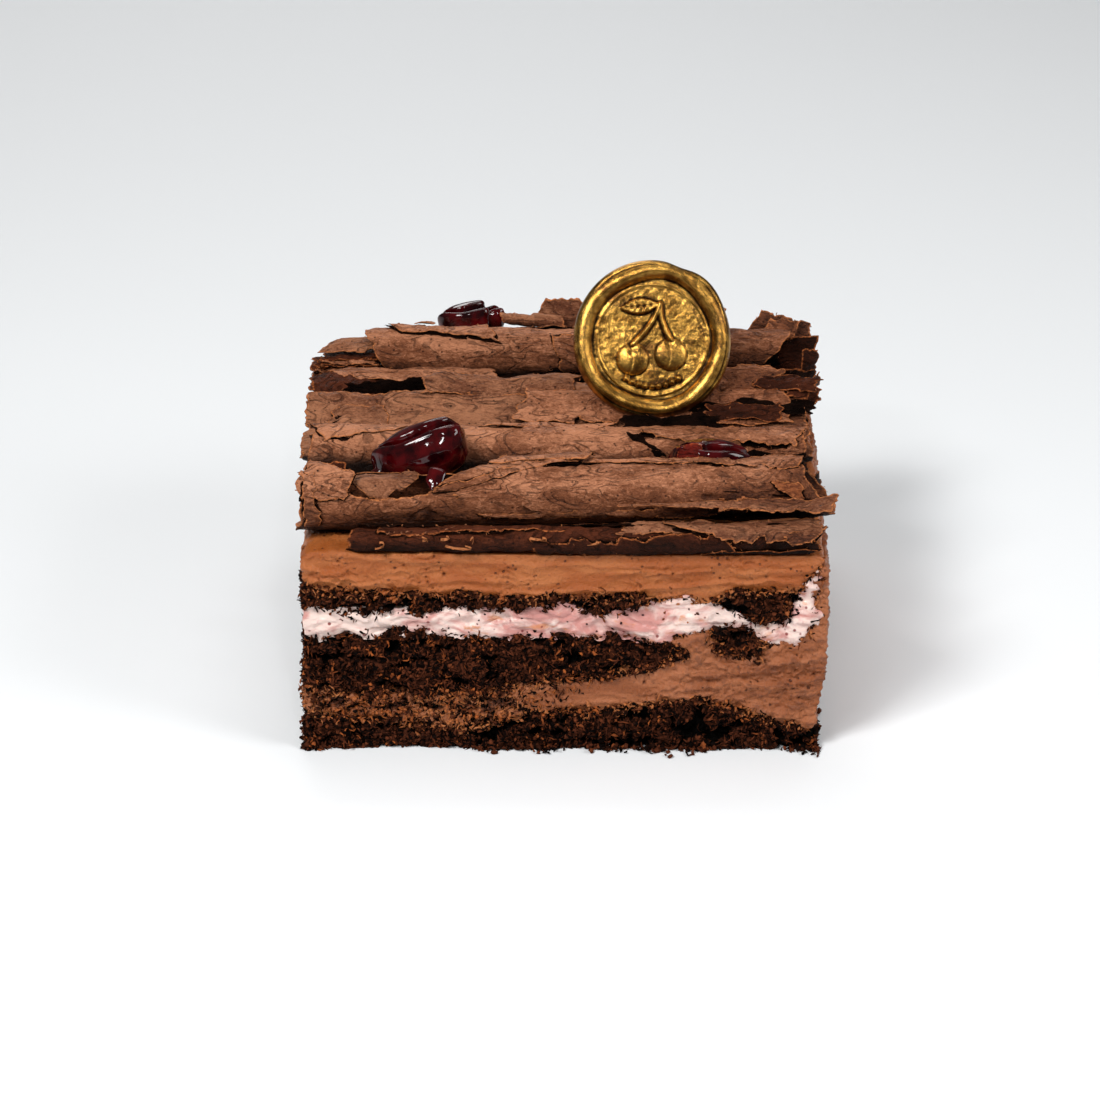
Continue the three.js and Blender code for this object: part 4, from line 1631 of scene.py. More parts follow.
# The sheets of the roof, by the solid that each stands for. Their values are in the order of the
# fields of Roll, Strip and Flake.
SHEETS: dict[str, SheetShape] = {
    "curl_front": Roll((-34, -33.4), (48.6, 50.7), (6.3, 5.2), -238, 100, 1.5, 1, (-51.2, -0.8),
        (47.4, 6.6), 0.5, lambda u: lerp(100, 118, u) - 78 * (1 - smooth(0.03, 0.2, np.abs(u - 0.18)))),
    "curl_second": Roll((-11.8, -11.6), (47.9, 47.8), (5.9, 5.6), -230, 145, 1.5, 2, (-50.2, -1.4),
        (48.6, 1), 0.6, lambda u: 145 + 14 * uneven(u * 4, 3)),
    "curl_fourth": Roll((38, 38.2), (49.3, 49.1), (5.2, 5.1), 230, -58, 0.4, 4, (-41.4, 5.4), (48.2, -12.4),
        0.4, lambda u: -58 + 9 * uneven(u * 5, 4)),
    "curl_under_front": Roll((-44, -43.8), (44.6, 44.6), (2.2, 2.2), -100, 150, 0.6, 5, (-41.2, -0.6),
        (49.6, 1.2), 0.4, lambda u: 150 + 12 * uneven(u * 6, 5)),
    "flake_cherry": Roll((-34, -34), (48.8, 49.3), (4.75, 4.75), 112, 112, 1.2, 3, (-40.8, 2.2),
        (-27.4, -6.4), 0.2, lambda u: 112 - 96 * np.sqrt(np.sin(math.pi * np.clip(0.06 + 0.9 * u, 0, 1)))),
    "curl_under_back": Roll((45.4, 45.2), (44.6, 44.6), (2.1, 2.2), -95, 160, 0.5, 19, (-38.6, -0.8),
        (50.2, 1), 0.4, lambda u: 155 + 12 * uneven(u * 6, 8)),
    "curl_back_twisted": Roll((43.7, 44.5), (54.9, 53.4), (1.6, 1.5), -140, 150, 0.7, 18, (-13.8, 0.8),
        (0.4, 1.4), 0.2, lambda u: 150 + 0 * u),
    "sheet_third": Strip([[9, 43.1], [2.5, 43], [-3.8, 43.6], [-4.9, 45.2], [-2.6, 46.4], [2.6, 47.1],
        [7.6, 48.8], [11.4, 51.6], [14.6, 52.9]], (-53.4, 51.2), (0.8, -1.6), 6, 0.4, 0.35,
        edge=lambda u: lerp(0.9, 0.98, smooth(0.26, 0.34, u)) + 0.02 * uneven(u * 7, 6)),
    "sheet_valley_left": Strip([[18.4, 43.9], [22.2, 46.6], [26.2, 47.8], [29.8, 46.2]], (-52.2, -25),
        (0, 4), 7, 0.5, 0.3, lift=(1.4, -1)),
    "curl_valley_right": Strip([[29.6, 43.6], [24.4, 43.2], [20.6, 44.8], [20.4, 47.6], [23.6, 49.9],
        [28, 49.6]], (14.6, 38.6), (0, 7.4), 8, 0.9, 0.2),
    "curl_valley_middle": Strip([[22.2, 46.8], [21.2, 44.4], [23.6, 43], [27.6, 42.9], [30.4, 44.8],
        [29.4, 47.4], [26.4, 48.4]], (-22, 13), (1.6, -1.2), 21, 0.7, 0.15),
    "sheet_between": Strip([[-27.2, 43.2], [-24.6, 42.7], [-21.2, 43], [-18.9, 44.4]], (-17.4, 20.6),
        (1.8, -1), 22, 0.8, 0.12),
    "sheet_right_low": Strip([[14.4, 43.4], [18.4, 44.6], [23.4, 44.9], [28.4, 44]], (41.4, 50.6),
        (0.6, 1.8), 9, 0.7, 0.2),
    "sheet_right_high": Strip([[17.2, 46], [21.4, 46.9], [26, 47], [30.4, 46]], (43.2, 53.2), (1.4, 0.2),
        10, 0.7, 0.25),
    "curl_right_flared": Strip([[40.2, 52], [40.3, 48.2], [37.8, 44.8], [34.6, 44.8], [32.9, 48.2]],
        (43.2, 53.4), (1.2, -0.6), 11, 0.3, lift=(0, 0.6)),
    "plate_left_low": Strip([[33.2, 42.6], [37, 42.9], [40.4, 42.7]], (-53.4, -37.4), (0.6, 0), 12, 0.4),
    "plate_left_middle": Strip([[34.4, 44.7], [37.6, 45.2], [40.8, 44.9]], (-52.8, -37.8), (0, 0.4), 13,
        0.5),
    "plate_left_upper": Strip([[34.2, 46.6], [37.6, 47.2], [41, 46.9]], (-53, -37.8), (0.4, 0.2), 20, 0.4),
    "plate_left_high": Strip([[34, 48.6], [38, 49.2], [41.8, 48.9]], (-51.6, -38.2), (2.6, 0), 14, 0.5),
    "plate_left_spike": Strip([[34.8, 50.7], [38.2, 52], [41, 51.7]], (-52.6, -38.8), (6, 0), 15, 0.2,
        lift=(-0.6, 0)),
    "sheet_front_right": Strip([[-44.6, 48.5], [-41.7, 49.2], [-39.9, 50.5]], (8, 52.6), (3, 1.4), 16, 0.5,
        0.15, lift=(-0.2, 2.6), taper=lambda u: 0.2 + 0.8 * smooth(0.1, 0.8, u)),
    "tongue_front": Strip([[-33.6, 56.4], [-30.6, 56], [-28.2, 54.6]], (-15.4, 5.6), (5, 2), 17, 0.3,
        lift=(-0.2, 0.9)),
    "flake_left_upper": Flake([[-50.4, -26.2, 43.9], [-42.4, -26.8, 43.7], [-42.2, -20.6, 51],
        [-49.6, -21, 50.4]], 0.4),
    "flake_left_lower": Flake([[-51.6, -26.4, 42.9], [-43.8, -26.6, 42.7], [-43.6, -19.4, 43.2],
        [-50.8, -19.6, 43.3]], 0.3),
    "flake_back_upright": Flake([[-8.4, 46.2, 47.9], [7, 46.2, 47.8], [6, 48.4, 58], [-4, 48.6, 58.3]],
        0.5),
    "flake_back_right": Flake([[36, 45.6, 47.6], [53.2, 45.6, 47.6], [52.6, 47.4, 52.8], [41.8, 48.2, 56]],
        0.5),
    "flake_back_middle": Flake([[26, 45.8, 47.6], [33, 45.8, 47.6], [35.2, 47.6, 56.2], [30, 47.8, 56.4]],
        0.4),
    "flake_right_dark": Flake([[44.6, 9, 51.3], [50.4, 9, 51.1], [50.8, 13.6, 54], [45.6, 13.6, 54.4]],
        0.2),
}

FRONT_ROLL, SECOND_ROLL, FOURTH_ROLL = SHEETS["curl_front"], SHEETS["curl_second"], SHEETS["curl_fourth"]
UNDER_FRONT, UNDER_BACK = SHEETS["curl_under_front"], SHEETS["curl_under_back"]

# Torn layers that lie on the rolls and sheets or peel off them, and near-black strips that paint the shadows
# in the gaps between them.
TORN: dict[str, SheetShape] = {
    "skin_front_ribbon": Skin(FRONT_ROLL, (-25, 4.6), sloped(26, 88), sloped(46, 117), 0.7, 0.9, 1),
    "skin_front_lip": Skin(FRONT_ROLL, (4, 47), sloped(98, 70), sloped(114, 122), 0.5, 0.8, 2),
    "skin_front_patch": Skin(FRONT_ROLL, (40.6, 47.6), 44, sloped(20, 4, 0.6), 0.5, 0.4, 2),
    "skin_front_left": Skin(FRONT_ROLL, (-50.8, -46.2), -52, 78, 0.5, 0.9, -1.4),
    "skin_front_tongue": Skin(FRONT_ROLL, (-50.6, -40.2), 16, sloped(112, 74), 0.6, 0.7, 2.6),
    "skin_front_low": Skin(FRONT_ROLL, (-16, 30), sloped(-8, 0), sloped(-22, -38, 0.7), 0.35, 0.5, 3),
    "crack_front_low": Skin(FRONT_ROLL, (-49.6, 51.4), -100, lambda u: lerp(-46, 10,
        smooth(0.6, 1, u)) + 7 * uneven(u * 9, 2), 0.5, 0),
    "crack_front_slot": Skin(FRONT_ROLL, (30, 47.4), sloped(28, 16), sloped(22, 6), 0.45, 0, 0),
    "crack_under_top": Skin(UNDER_FRONT, (-40.4, 49.4), 160, lambda u: 84 + 14 * uneven(u * 11, 5), 0.8, 0),
    "crack_under_slot": Skin(UNDER_FRONT, (20, 36), 58, 46, 0.9, 0, 0),
    "crack_second_low": Skin(SECOND_ROLL, (2, 21), -16, 17, 0.4, 0),
    "crack_fourth_low": Skin(FOURTH_ROLL, (-38.6, 36), -66, lambda u: -20 + 12 * uneven(u * 8, 3), 0.5, 0),
    "skin_front_chip": Skin(FRONT_ROLL, (29.8, 32.4), 14, 2, 0.4, 0.3, 0.6),
    "skin_second_right": Skin(SECOND_ROLL, (16, 48.6), 116, sloped(70, 41, 0.3), 0.5, 1.3, -3),
    "crack_second_gap": Skin(SECOND_ROLL, (23, 48.8), 4, sloped(46, 40), 0.4, 0.1, 2),
    "crack_second_wedge": Skin(SECOND_ROLL, (15.2, 19.6), 14, 76, 0.4, 0, -6),
    "skin_second_left": Skin(SECOND_ROLL, (-49.6, -31), 120, sloped(44, 78), 0.5, 0.8, 4),
    "skin_second_top": Skin(SECOND_ROLL, (-16, 10), 92, 122, 0.5, 0.5, 3),
    "skin_under_left": Skin(UNDER_FRONT, (-37, 2), 120, sloped(34, 62), 0.5, 0.5, 1.5),
    "skin_under_middle": Skin(UNDER_FRONT, (-6, 34), -62, sloped(40, 66), 0.5, 0.6, -2.5),
    "skin_under_right": Skin(UNDER_FRONT, (20, 50.6), 128, sloped(70, 8, 0.5), 0.8, 1.3, -3),
    "skin_under_low": Skin(UNDER_FRONT, (26, 50), -70, -8, 0.6, 0.7, 3),
    "skin_fourth_left": Skin(FOURTH_ROLL, (-37, -14), 118, sloped(70, 44), 0.5, 0.7, 5),
    "skin_fourth_right": Skin(FOURTH_ROLL, (-2, 34), -30, sloped(70, 40), 0.5, 0.8, -3),
    "skin_fourth_back": Skin(FOURTH_ROLL, (-30, 20), 120, sloped(196, 170), 0.5, 0.8, 4),
    "skin_back_left": Skin(UNDER_BACK, (-36, 6), 60, sloped(150, 120), 0.5, 0.7, -2),
    "skin_back_right": Skin(UNDER_BACK, (10, 49), 56, sloped(172, 140), 0.5, 0.9, 3),
    "skin_third_ridge": Strip([[2.4, 48.8], [4.6, 49.6], [7, 50.9], [9.4, 52.6], [11.2, 53]], (-11.2, 47.6),
        (3.6, -2.4), 31, 0.9, 0.3),
    "crack_third_right": Strip([[5, 49.8], [7, 51], [8.8, 51.6]], (22, 51.6), (8, 0), 35, 1.1, 0.3),
    "strip_right_shade": Strip([[2.6, 49.6], [4.8, 50.9], [7, 51.8]], (27, 45.4), (1, -0.4), 42, 0.8, 0.4),
    "strip_third_dark": Strip([[9.4, 53], [11.6, 54.4], [13.4, 54.6]], (38, 52.4), (2, 0.4), 38, 0.9, 0.3),
    "crack_ridge": Strip([[-2.6, 49.4], [-0.8, 50.7], [0.6, 52]], (11, 34), (1, -2), 37, 0.8, 0.4),
    "crack_valley_left": Strip([[15.2, 49], [16, 51], [16.6, 52.7]], (-46, -6), (1, -2), 39, 0.6, 0.5),
    "crack_valley_right": Strip([[20, 46.6], [20.6, 49], [22.6, 50.6]], (34, 50), (1, -1), 41, 0.9, 0.3),
    "crack_tongue": Strip([[-34.4, 55.3], [-31.6, 55.4], [-28.6, 54.2]], (-9, 6.4), (4, 2), 43, 0.4, 0.1),
    "scrap_right_cover": Flake([[28, 10.4, 51.4], [38.8, 10.6, 50.9], [47.2, 15.4, 55.8], [30, 15.8, 56.4]],
        0.6),
    "cheek_cherry": Flake([[22.2, -25.9, 52.4], [28, -27.6, 53.8], [28.4, -24.2, 57], [22, -23.2, 55.3]],
        0.7),
    "crack_mouth": Flake([[36.6, 33.6, 46.6], [45.4, 34, 45.8], [45.8, 36.4, 51.4], [39.6, 37.6, 52.6]],
        0.2),
    "strip_under_cover": Strip([[-45.6, 46.6], [-43.4, 47.4], [-40.6, 47.2]], (10, 51.4), (2, -1), 36, 0.6,
        0.25),
    "skin_third_left": Strip([[-1.6, 47.2], [1.8, 47.8], [5.4, 48.6], [8.6, 50.2]], (-50.4, -33), (3.5, -2),
        32, 0.8, 0.3),
    "skin_third_edge": Strip([[10.2, 51.6], [13, 53.6], [15.6, 54]], (-30, 2), (1, 3), 33, 0.6, 0.3),
    "skin_valley": Strip([[25, 48.6], [28.4, 49.2], [31.4, 48.4]], (-48, -12), (1.5, -2.5), 34, 0.8, 0.3),
    "crack_hole": Flake([[-47.4, 3.4, 47.9], [-43.2, 3.2, 47.8], [-42.4, 6.2, 49], [-46.6, 6.8, 49.2]],
        0.1),
    "scrap_chip": Flake([[-36.2, -45.7, 42.9], [-34.4, -46, 43], [-33.9, -45.3, 44.6], [-35.5, -45, 44.4]],
        0.2),
    "scrap_left_edge": Flake([[-52.4, -30, 46], [-46.6, -30.6, 45.4], [-45, -25.4, 53.4],
        [-50.8, -25, 52.2]], 0.5),
    "crack_left": Flake([[-51.8, -20.2, 42.6], [-47.2, -23.4, 42.8], [-46.2, -20.2, 49.6],
        [-51.4, -17.2, 48.2]], 0.5),
    "scrap_cherry_side": Flake([[-15.4, -26, 48.4], [-4.6, -27.2, 49.4], [-3, -24.6, 53.2],
        [-12.6, -22.4, 53.6]], 0.6),
    "scrap_right_a": Flake([[48.6, 21.6, 47], [53, 25.4, 47.4], [53.2, 25, 51.6], [49.6, 20.8, 51.2]], 0.4),
    "scrap_right_b": Flake([[48.2, 29.8, 48.4], [53.4, 31.4, 48], [53.4, 33.2, 53.2], [49, 31, 53.6]], 0.5),
    "scrap_right_c": Flake([[47.8, -19.6, 43.4], [51.4, -16.4, 43.2], [51.2, -17.8, 48.6],
        [48.4, -21.6, 48.8]], 0.4),
    "scrap_back_left": Flake([[-31.2, 39.6, 54.9], [-26.6, 40.2, 54.9], [-26.2, 43.6, 53.6],
        [-30.4, 43.2, 53.6]], 0.2),
    "scrap_back_right": Flake([[40.2, 42.2, 50.4], [49.6, 41.4, 50], [50.8, 45.4, 53.6], [42.8, 46, 54.8]],
        0.5),
}


def shavings() -> dict[str, SheetShape]:
    """Small loops of shaved chocolate on the sheet under the front roll and beside it.

    Returns:
        Their shapes by name.
    """
    places = ((-27.6, -46.7, 45.9, 1.8, 0.7, 8, 300), (-22.6, -46.6, 46.3, 1.2, 0.5, 10, 240),
        (-19.8, -46.9, 44.6, 2.6, 0.4, -6, 200), (-17.2, -46.8, 45.4, 1.3, 0.4, 78, 260),
        (-4.4, -46.6, 46.3, 1.6, 0.4, -4, 170), (6.0, -46.8, 45.4, 1.4, 0.3, 12, 220),
        (-35.0, -46.6, 44.6, 1.1, 0.6, 40, 190), (42.2, -46.6, 46.4, 1.3, 0.45, 12, 230),
        (34.2, -40.2, 52.0, 1.3, 0.4, 10, 250), (-21.8, -40.0, 51.7, 2.2, 0.8, 14, 310))
    return {f"shaving_{number}": Loop((x, y, z), (wide, high), 0.9, turn, (stop - 360.0, 60.0)) for number,
        (x, y, z, wide, high, turn, stop) in enumerate(places)}


def broken_stack() -> dict[str, SheetShape]:
    """Thin broken layers that show between the plates at the back left.

    Returns:
        Their shapes by name.
    """
    rng = np.random.default_rng(31)
    layers = {}
    for number in range(11):
        up = 43.4 + 0.58 * number
        out = rng.uniform(0.0, 0.9)
        layers[f"layer_left_{number}"] = Strip([[33.2 + out, up], [34.4 + out, up + 0.25], [36.4, up + 0.1]],
            (-52.4 + rng.uniform(0.0, 2.2), -38.6), (0, 0), 40 + number, 0.7, 0.3)
    return layers


# ---- cherries

@dataclass
class Cherry:
    """A soft stoned cherry, longer than high, with a crease along its top."""

    node: str
    place: tuple[float, float, float]
    length: float
    roll: float
    turn: float
    material: Material
    seed: int
    depth: float = 0.62
    height: float = 0.64
    wrinkled: float = 0.02
    blunt: float = 0.62
    pinched: float = 0.0
    around: int = 124
    rings: int = 88

    def build(self) -> None:
        """Makes the cherry and puts it in place of its solid."""
        points, faces = ball(self.around, self.rings)
        radius = self.length / 2.0
        along = points[:, 0].copy()
        noise = Noise(self.seed)
        middle = -0.42 + 0.7 * along ** 2 + 0.05 * np.sin(5.0 * along)
        top = smooth(0.0, 0.5, points[:, 2])
        opened = smooth(-1.0, 0.9, along)
        away = points[:, 1] - middle
        crease = hump(away, 0.07 + 0.12 * opened) * top
        lip = hump(away + 0.24, 0.2) * smooth(0.1, 0.7, points[:, 2])
        behind = smooth(0.0, 0.3, away) * top
        dents = noise.fractal(points, 1.5, 2, 0.4)
        folds = noise.ridged(points + 3.0, (1.6, 0.5, 0.5)) ** 4
        grown = (0.97 - (0.3 + 0.25 * opened) * crease + 0.08 * lip - 0.05 * behind + 0.1 * dents
            + self.wrinkled * folds - self.pinched * hump(along - 0.6, 0.16))
        squarer = np.where(along > 0.0, self.blunt, 0.88)
        wide = np.maximum(np.hypot(points[:, 1], points[:, 2]), 1e-6)
        points[:, 1:] *= (wide ** (squarer - 1.0))[:, None]
        points[:, 0] = np.sign(along) * np.abs(along) ** np.where(along > 0.0, 0.8, 0.95)
        points[:, 0] += 0.1 * smooth(0.3, 1.0, along) * points[:, 2]
        points = points * grown[:, None] * [radius, radius * self.depth, radius * self.height]
        points = turned(points, self.roll, self.turn) + self.place
        piece = make_mesh(self.node + "_fruit", points, faces, self.material)
        settle(piece, "cherry", self.node)


@dataclass
class Syrup:
    """A drop of syrup that ran down over the chocolate."""

    name: str
    place: tuple[float, float, float]
    down: tuple[float, float, float]
    out: tuple[float, float, float]
    sizes: tuple[float, float, float]
    material: Material

    def build(self) -> None:
        """Makes the drop, wide where it starts and narrow where it ends."""
        points, faces = ball(40, 28)
        down = unit(np.array(self.down))
        across = unit(np.cross(self.out, down))
        out = np.cross(down, across)
        width = 1.0 - 0.45 * points[:, :1] + 0.12 * np.sin(5.0 * points[:, :1])
        local = (points[:, :1] * down * self.sizes[0] + points[:, 1:2] * across * self.sizes[1] * width
            + points[:, 2:] * out * self.sizes[2] * width)
        settle(make_mesh(self.name, local + self.place, faces, self.material), "cherry")


def ball(around: int, rings: int) -> tuple[Array, list]:
    """A unit ball whose poles lie on X.

    Args:
        around: Points round it.
        rings: Rings from pole to pole.

    Returns:
        Points and faces.
    """
    points = [[-1.0, 0.0, 0.0]]
    for ring in range(1, rings):
        tilt = math.pi * ring / rings
        for step in range(around):
            angle = math.tau * step / around
            points.append([-math.cos(tilt), math.sin(tilt) * math.cos(angle),
                math.sin(tilt) * math.sin(angle)])
    points.append([1.0, 0.0, 0.0])
    return np.array(points), capped(around, rings - 1)


def turned(points: Array, roll: float, turn: float) -> Array:
    """Turns points by roll degrees about Y, and then by turn degrees about Z.

    Args:
        points: Rows of x, y, z.
        roll: The first turn.
        turn: The second.

    Returns:
        The turned points.
    """
    a, b = math.radians(roll), math.radians(turn)
    about_y = np.array([[math.cos(a), 0, math.sin(a)], [0, 1, 0], [-math.sin(a), 0, math.cos(a)]])
    about_z = np.array([[math.cos(b), -math.sin(b), 0], [math.sin(b), math.cos(b), 0], [0, 0, 1]])
    return points @ (about_z @ about_y).T


# ---- the gold seal

@dataclass
class GoldSeal:
    """A pressed disc with a thick uneven rim and two cherries in relief."""

    material: Material
    node: str = "gold_seal"
    radius: float = 16.0
    thickness: float = 4.4
    rim_width: float = 3.9
    recess: float = 1.3
    lean: float = 25.0
    foot: tuple[float, float, float] = (18.1, 4.2, 49.1)
    sectors: int = 300
    front_rings: int = 78
    seed: int = 71
    cherries: tuple = ((-3.9, -3.9, 3.3), (3.7, -2.9, 3.3))
    stem_top: tuple[float, float] = (1.6, 7.2)
    beads: int = 9

    def build(self) -> None:
        """Makes the seal and puts it in place of its solid."""
        self.noise = Noise(self.seed)
        half = self.thickness / 2.0
        turn = np.arange(self.sectors) * math.tau / self.sectors
        inner = self.radius - self.rim_width * 0.25
        shares = np.linspace(0.0, 1.0, self.front_rings + 1)[1:]
        wide = np.array([share * inner * self._outline(turn, share * inner) for share in shares])
        across, up = wide * np.sin(turn), wide * np.cos(turn)
        front = np.stack([across, up, self._front(across, up)], -1)
        rim = np.radians(np.linspace(60.0, -90.0, 16)[1:])
        bulge = self.rim_width * 0.5
        side = [(self.radius - bulge + bulge * math.cos(a), half * math.sin(a)) for a in rim]
        side += [(self.radius * share, -half) for share in (0.7, 0.45, 0.2)]
        round_back = []
        for distance, level in side:
            reach = distance * self._outline(turn, distance)
            ring = np.stack([reach * np.sin(turn), reach * np.cos(turn), np.full_like(turn, level)], -1)
            ring[:, 2] += 0.12 * self.noise.fractal(ring, 4.0)
            round_back.append(ring)
        middle = self._front(np.zeros(1), np.zeros(1))[0]
        local = np.vstack([[[0.0, 0.0, middle]], front.reshape(-1, 3), np.concatenate(round_back),
            [[0.0, 0.0, -half]]])
        # The rim's side and back are painted darker towards the bottom, a painted shade under the seal, with
        # uneven patina round it.
        rim_shade_and_patina = 0.58 + 0.3 * np.cos(turn) + 0.16 * np.sin(5.0 * turn + 1.0) * np.sin(2.0 * turn)
        heights = np.concatenate([[0.5], self._sunk(front[..., 2]).ravel(), np.tile(rim_shade_and_patina, len(side)), [0.6]])
        piece = make_mesh(self.node + "_disc", self._placed(local),
            capped(self.sectors, self.front_rings + len(side)), self.material, {"height": heights})
        settle(piece, "gold", self.node)

    @staticmethod
    def _sunk(level: Array) -> Array:
        """How high each point of the front stands among its neighbours, from 0 to 1.

        Args:
            level: Heights, ring by ring.

        Returns:
            One value for each point.
        """
        spread = level.copy()
        for _ in range(14):
            beside = np.roll(spread, 1, axis=1) + np.roll(spread, -1, axis=1)
            padded = np.pad(spread, ((1, 1), (0, 0)), mode="edge")
            spread = (2.0 * spread + beside + padded[:-2] + padded[2:]) / 6.0
        return np.clip(0.62 + (level - spread) / 0.34, 0.16, 1.0)

    def _outline(self, turn: Array, distance: float) -> Array:
        """How far out of round the seal is at each turn, which fades towards its middle.

        Args:
            turn: Angles from the top.
            distance: How far out.

        Returns:
            What the distance is multiplied by.
        """
        share = smooth(0.55, 1.0, np.full_like(turn, distance / self.radius))
        lobe = 0.035 * hump(turn - 0.78, 0.32)
        flat = -0.025 * hump(turn - 0.38, 0.16)
        waves = 0.008 * np.cos(2 * turn + 1.0) + 0.006 * np.cos(3 * turn)
        return 1.0 + share * (lobe + flat + waves)

    def _front(self, x: Array, y: Array) -> Array:
        """The height of the front, with its rim, ring line, hammering and relief.

        Args:
            x: Across from its middle.
            y: Up from its middle.

        Returns:
            One height for each point.
        """
        half = self.thickness / 2.0
        away = np.hypot(x, y)
        turn = np.arctan2(x, y)
        field_edge = self.radius - self.rim_width
        wobble = 0.25 * np.sin(3.0 * turn + 0.5) + 0.2 * np.sin(5.0 * turn)
        across = (away - field_edge - wobble) / (self.rim_width - 0.2)
        rim = np.sin(math.pi * np.clip(across, 0.0, 1.0)) ** 0.75
        fold = -0.5 * hump(turn - 0.62, 0.13) * smooth(0.2, 0.6, across)
        place = np.stack([x, y, np.zeros_like(x)], -1)
        hammer = 0.06 * self.noise.fractal(place, 0.7, 2) + 0.03 * self.noise.fractal(place, 2.6, 2)
        hammer *= 1.0 - 0.8 * smooth(0.05, 0.3, self._motif(x, y))
        level = half - self.recess
        ring = 0.3 * hump(away - field_edge + 0.9, 0.22)
        inside = 1.0 - smooth(-0.12, 0.05, across)
        relief = np.maximum(1.25 * self._motif(x, y), ring * 0.8)
        lines = 0.09 * self.noise.fractal(place, (5.4, 5.4, 1.0), 2)
        return (level + inside * (hammer + relief) + (1.0 - inside)
            * (rim * self.recess + fold * rim + lines))

    def _motif(self, x: Array, y: Array) -> Array:
        """Two cherries on a forked stem with a leaf, over a row of beads.

        Args:
            x: Across from its middle.
            y: Up from its middle.

        Returns:
            How high they stand at each point.
        """
        high = np.zeros_like(x)
        for across, up, size in self.cherries:
            away = np.hypot(x - across, y - up) / size
            dome = np.sqrt(np.clip(1.0 - away ** 2, 0.0, 1.0)) * 0.85
            dimple = 0.3 * hump(np.hypot(x - across, y - up - 2.2), 0.9)
            groove = 0.12 * hump(x - across + 0.1 * (y - up) ** 2, 0.22)
            high = np.maximum(high, dome - (dimple + groove) * (away < 1.0))
            high = np.maximum(high, self._stroke(x, y, (across, up + size * 0.9), self.stem_top, 1.6
                if across < 0 else -1.2, 0.34))
        high = np.maximum(high, self._leaf(x, y, self.stem_top, (-6.6, 6.3), 1.75))
        for number in range(self.beads):
            angle = math.radians(180.0 + 8.5 * (number - (self.beads - 1) / 2))
            away = np.hypot(x - 9.4 * math.sin(angle), y - 9.4 * math.cos(angle)) / 0.66
            high = np.maximum(high, 0.72 * np.sqrt(np.clip(1.0 - away ** 2, 0.0, 1.0)))
        return high

    @staticmethod
    def _stroke(x: Array, y: Array, start: tuple, end: tuple, bow: float, width: float) -> Array:
        """A raised line from start to end that bows sideways.

        Args:
            x: Across from its middle.
            y: Up from its middle.
            start: Where it starts.
            end: Where it ends.
            bow: How far it bows.
            width: Half its width.

        Returns:
            How high it stands at each point.
        """
        t = np.linspace(0.0, 1.0, 24)
        line = zip(lerp(start[0], end[0], t) + bow * np.sin(math.pi * t) * 0.5, lerp(start[1], end[1], t))
        away = np.min([np.hypot(x - across, y - up) for across, up in line], axis=0)
        return 0.8 * np.sqrt(np.clip(1.0 - (away / (width * 1.8)) ** 2, 0.0, 1.0))

    @staticmethod
    def _leaf(x: Array, y: Array, root: tuple, tip: tuple, width: float) -> Array:
        """A raised leaf with a sunk midrib.

        Args:
            x: Across from its middle.
            y: Up from its middle.
            root: Where it starts.
            tip: Where it ends.
            width: Half its width.

        Returns:
            How high it stands at each point.
        """
        run = np.array(tip) - np.array(root)
        length = float(np.hypot(*run))
        along = ((x - root[0]) * run[0] + (y - root[1]) * run[1]) / length ** 2
        aside = ((x - root[0]) * run[1] - (y - root[1]) * run[0]) / length
        wide = width * np.sin(math.pi * np.clip(along, 0.0, 1.0)) ** 0.8
        body = smooth(0.0, 0.45, wide - np.abs(aside))
        veins = 0.1 * np.cos(along * 40.0 - np.abs(aside) * 3.0)
        rib = 0.22 * hump(aside, 0.16)
        return body * (0.78 + veins - rib)

    def _placed(self, local: Array) -> Array:
        """Leans the seal back and stands it on its foot.

        Args:
            local: Points as across, up and out.

        Returns:
            Points in the cake's frame.
        """
        lean = math.radians(self.lean)
        up = np.array([0.0, math.sin(lean), math.cos(lean)])
        out = np.array([0.0, -math.cos(lean), math.sin(lean)])
        centre = np.array(self.foot) + up * self.radius
        return (centre + local[:, :1] * [1.0, 0.0, 0.0] + local[:, 1:2] * up + local[:, 2:3] * out)


# ---- the studio

